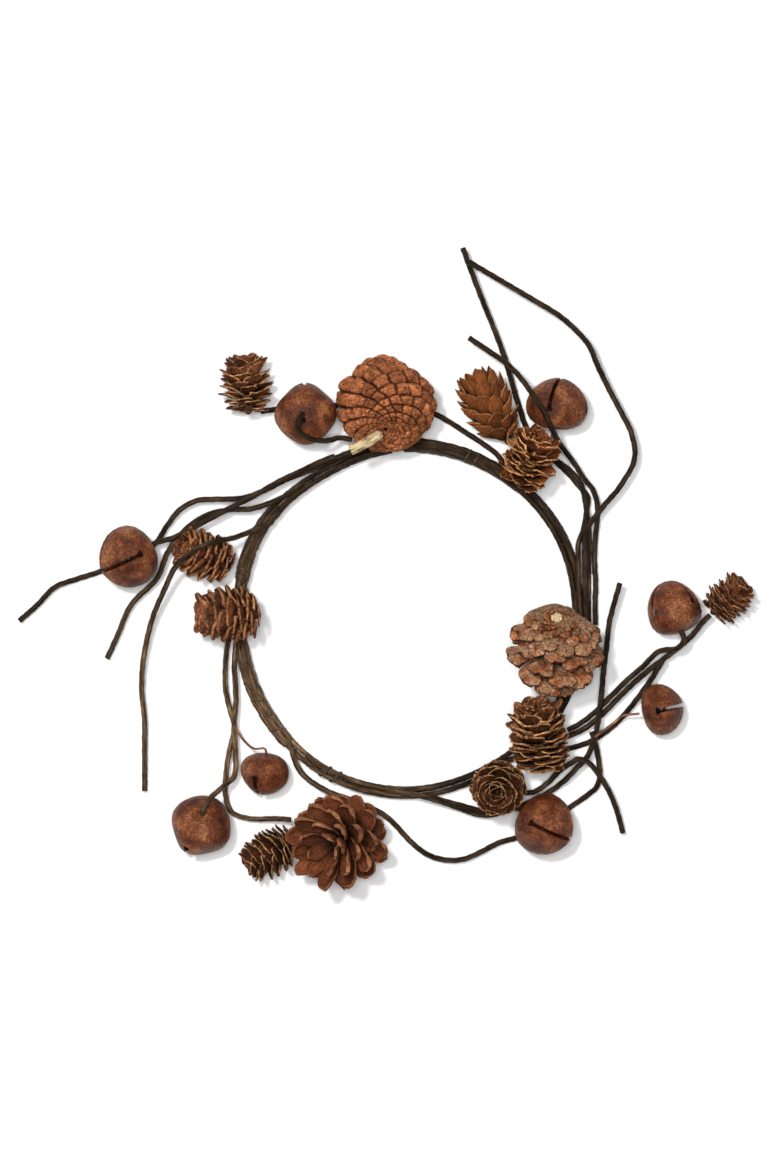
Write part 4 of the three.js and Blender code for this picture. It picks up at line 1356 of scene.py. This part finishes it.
def rust_material():
    """Rust in three sizes: wide brown and orange fields, pits a millimetre wide, fine grit."""
    made, nodes, links, shader = new_material("rusted bell steel")
    places = nodes.new("ShaderNodeTexCoord")
    fine = speckle(nodes, links, places.outputs["Object"], 900.0, 8.0, 0.85)
    wide = speckle(nodes, links, places.outputs["Object"], 110.0, 4.0, 0.6)
    pits = nodes.new("ShaderNodeTexVoronoi")
    pits.inputs["Scale"].default_value = 480.0
    links.new(places.outputs["Object"], pits.inputs["Vector"])
    colours = colour_steps(nodes, [
        (0.37, (0.014, 0.004, 0.002)), (0.46, (0.070, 0.017, 0.006)),
        (0.53, (0.165, 0.042, 0.011)), (0.62, (0.46, 0.140, 0.034)),
    ])
    blend = nodes.new("ShaderNodeMix")
    blend.inputs["Factor"].default_value = 0.44
    links.new(fine.outputs["Fac"], blend.inputs["A"])
    links.new(wide.outputs["Fac"], blend.inputs["B"])
    links.new(blend.outputs["Result"], colours.inputs["Fac"])
    dust = colour_steps(nodes, [(0.50, (1.0, 1.0, 1.0)), (0.66, (0.85, 1.12, 1.7))])
    links.new(wide.outputs["Fac"], dust.inputs["Fac"])
    pitted = colour_steps(nodes, [(0.10, (0.45, 0.42, 0.40)), (0.30, (1.1, 1.1, 1.1))])
    links.new(pits.outputs["Distance"], pitted.inputs["Fac"])
    colour = multiplied(nodes, links, colours.outputs["Color"], dust.outputs["Color"])
    colour = multiplied(nodes, links, colour, pitted.outputs["Color"])
    links.new(colour, shader.inputs["Base Color"])
    shader.inputs["Roughness"].default_value = 0.48
    shader.inputs["Specular IOR Level"].default_value = 0.22
    under = relief(nodes, links, pits.outputs["Distance"], 0.0003, 0.8)
    rough = relief(nodes, links, fine.outputs["Fac"], 0.0004, 1.0, under.outputs["Normal"])
    links.new(rough.outputs["Normal"], shader.inputs["Normal"])
    return made


RUST = rust_material()


def cut_with(shell, cutters):
    """Takes the cutters' shapes out of a shell, and removes them."""
    for cutter in cutters:
        slot = shell.modifiers.new("slot", "BOOLEAN")
        slot.object = cutter
        slot.operation = "DIFFERENCE"
        slot.solver = "MANIFOLD"
    seen = bpy.context.evaluated_depsgraph_get()
    cut = bpy.data.meshes.new_from_object(shell.evaluated_get(seen))
    shell.modifiers.clear()
    shell.data = cut
    for cutter in cutters:
        bpy.data.objects.remove(cutter)


def bell_turn(slots, hole):
    axis = -Vector(slots).normalized()
    side = Vector(hole)
    side = (side - axis * side.dot(axis)).normalized()
    across = axis.cross(side)
    return Matrix((side, across, axis)).transposed().to_4x4()


def pressed_bell(name, size, at, slots, hole, squash=0.96):
    """squash is how high the bell is from its slots to its closed end, as a share."""
    radius = size / 2
    shell = bmesh.new()
    points = [shell.verts.new((radius * r, 0, radius * z)) for r, z in BELL_OUTLINE]
    edges = [shell.edges.new(pair) for pair in zip(points, points[1:])]
    bmesh.ops.spin(
        shell, geom=points + edges, angle=math.tau, steps=SPUN_STEPS, use_merge=True,
        axis=(0, 0, 1), cent=(0, 0, 0),
    )
    bmesh.ops.remove_doubles(shell, verts=shell.verts, dist=1e-4)
    for vert in shell.verts:
        way = math.atan2(vert.co.y, vert.co.x)
        level = vert.co.z / radius
        pressed = PETAL_PRESS * (1 - math.cos(4 * way)) / 2
        pressed *= max(0.0, 1 - max(0.0, level - 0.1) / 0.7)
        dent = DENT_DEPTH * noise.noise(vert.co * 0.12 + Vector((len(name), at[0], at[1])))
        vert.co.x *= 1 - pressed + dent
        vert.co.y *= 1 - pressed + dent
    bmesh.ops.recalc_face_normals(shell, faces=shell.faces)
    bmesh.ops.solidify(shell, geom=list(shell.faces), thickness=BELL_WALL)
    bmesh.ops.recalc_face_normals(shell, faces=shell.faces)
    bell = finished("pressed_" + name, shell)
    cutters = []
    for turn in (0.0, math.pi / 2):
        slot = bmesh.new()
        bmesh.ops.create_cube(slot, size=1.0)
        stretch = Matrix.Diagonal((size * 1.4, SLOT_WIDTH, size, 1.0))
        spin = Matrix.Rotation(turn, 4, "Z")
        down = Matrix.Translation((0, 0, SLOT_TOP * radius - size / 2))
        bmesh.ops.transform(slot, matrix=spin @ down @ stretch, verts=slot.verts)
        cutters.append(finished("slot cutter", slot))
        ends = bmesh.new()
        bmesh.ops.create_cone(
            ends, cap_ends=True, segments=16, radius1=SLOT_END / 2, radius2=SLOT_END / 2,
            depth=size * 1.4,
        )
        bmesh.ops.rotate(ends, matrix=Matrix.Rotation(math.pi / 2, 3, "Y"), verts=ends.verts)
        for vert in ends.verts:
            rise = vert.co.z / (SLOT_END / 2)
            vert.co.y *= 0.75 + 0.4 * rise
            vert.co.z = SLOT_TOP * radius + vert.co.z * (0.75 if rise > 0 else 1.3)
        bmesh.ops.transform(ends, matrix=spin, verts=ends.verts)
        cutters.append(finished("slot end cutter", ends))
    bpy.context.view_layer.update()
    cut_with(bell, cutters)
    where = Matrix.Translation((Vector(at) + RING_CENTRE) * MILLIMETRE)
    flattened = Matrix.Diagonal((1, 1, squash, 1))
    bell.data.transform(where @ bell_turn(slots, hole) @ flattened @ Matrix.Scale(MILLIMETRE, 4))
    for vert in bell.data.vertices:
        vert.co.z = max(vert.co.z, 0.0)
    for face in bell.data.polygons:
        face.use_smooth = True
    bell.data.set_sharp_from_angle(angle=BELL_SHARP)
    bell.data.materials.clear()
    bell.data.materials.append(RUST)
    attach(bell, "root")
    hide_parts(name)


for bell_name, bell_sizes in BELLS.items():
    pressed_bell(bell_name, **bell_sizes)


# Pellets: the loose steel balls inside the bells, cast round and dull. They are seen only
# through the slots.
PELLET = metal_material(
    "dull steel pellet", 500.0, (0.4, 0.6), (0.05, 0.035, 0.03), (0.22, 0.18, 0.15), 0.8, 0.5,
)[0]
for number in range(1, 9):
    pellet_name = f"pellet_{number}"
    low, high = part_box(pellet_name)
    ball = bmesh.new()
    bmesh.ops.create_icosphere(ball, subdivisions=3, radius=(high.z - low.z) / 2)
    bmesh.ops.translate(ball, vec=(low + high) / 2, verts=ball.verts)
    for ball_face in ball.faces:
        ball_face.smooth = True
    pellet = finished("round_" + pellet_name, ball)
    pellet.data.materials.append(PELLET)
    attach(pellet, "root")
    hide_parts(pellet_name)


# The floor, the light and the camera: a white table under a lamp at the upper left and a
# wider one overhead, seen straight from above.
FLOOR_SIZE = 3.0
FLOOR_DROP = 0.0001
floor_shape = bmesh.new()
bmesh.ops.create_grid(floor_shape, x_segments=2, y_segments=2, size=FLOOR_SIZE)
bmesh.ops.translate(floor_shape, vec=(0, 0, -FLOOR_DROP), verts=floor_shape.verts)
floor = finished("floor", floor_shape)
floor_paint, _, _, floor_shader = new_material("white paper")
floor_shader.inputs["Base Color"].default_value = (0.92, 0.92, 0.92, 1.0)
floor_shader.inputs["Roughness"].default_value = 0.9
floor_shader.inputs["Specular IOR Level"].default_value = 0.1
floor.data.materials.append(floor_paint)

scene = bpy.context.scene
scene.view_settings.view_transform = "Standard"
world = bpy.data.worlds.new("studio")
world.use_nodes = True
world.node_tree.nodes["Background"].inputs["Color"].default_value = (1.0, 1.0, 1.0, 1.0)
world.node_tree.nodes["Background"].inputs["Strength"].default_value = 0.10
scene.world = world


def soft_light(name, place, size, power):
    lamp = bpy.data.lights.new(name, "AREA")
    lamp.shape = "DISK"
    lamp.size = size
    lamp.energy = power
    holder = bpy.data.objects.new(name, lamp)
    scene.collection.objects.link(holder)
    holder.location = place
    holder.rotation_mode = "QUATERNION"
    holder.rotation_quaternion = (-Vector(place)).to_track_quat("-Z", "Y")


soft_light("key light", (-0.36, 0.34, 1.95), 0.20, 25.0)
soft_light("overhead light", (0.0, 0.0, 2.7), 0.8, 47.0)

# The photograph's height and scale, the point that its middle shows, and how high above the
# table that scale is true
PHOTO_PIXELS_HIGH = 1170
MILLIMETRES_PER_PIXEL = 0.48
PHOTO_HEIGHT = PHOTO_PIXELS_HIGH * MILLIMETRES_PER_PIXEL * MILLIMETRE
PHOTO_MIDDLE = (0.0025, -0.0082)
TRUE_AT_HEIGHT = 0.012
LENS = 150.0
SENSOR = 36.0
lens = bpy.data.cameras.new("camera")
lens.lens = LENS
lens.sensor_width = SENSOR
lens.clip_end = 20.0
camera = bpy.data.objects.new("camera", lens)
scene.collection.objects.link(camera)
camera.location = (*PHOTO_MIDDLE, PHOTO_HEIGHT * LENS / SENSOR + TRUE_AT_HEIGHT)
scene.camera = camera

bpy.context.view_layer.update()
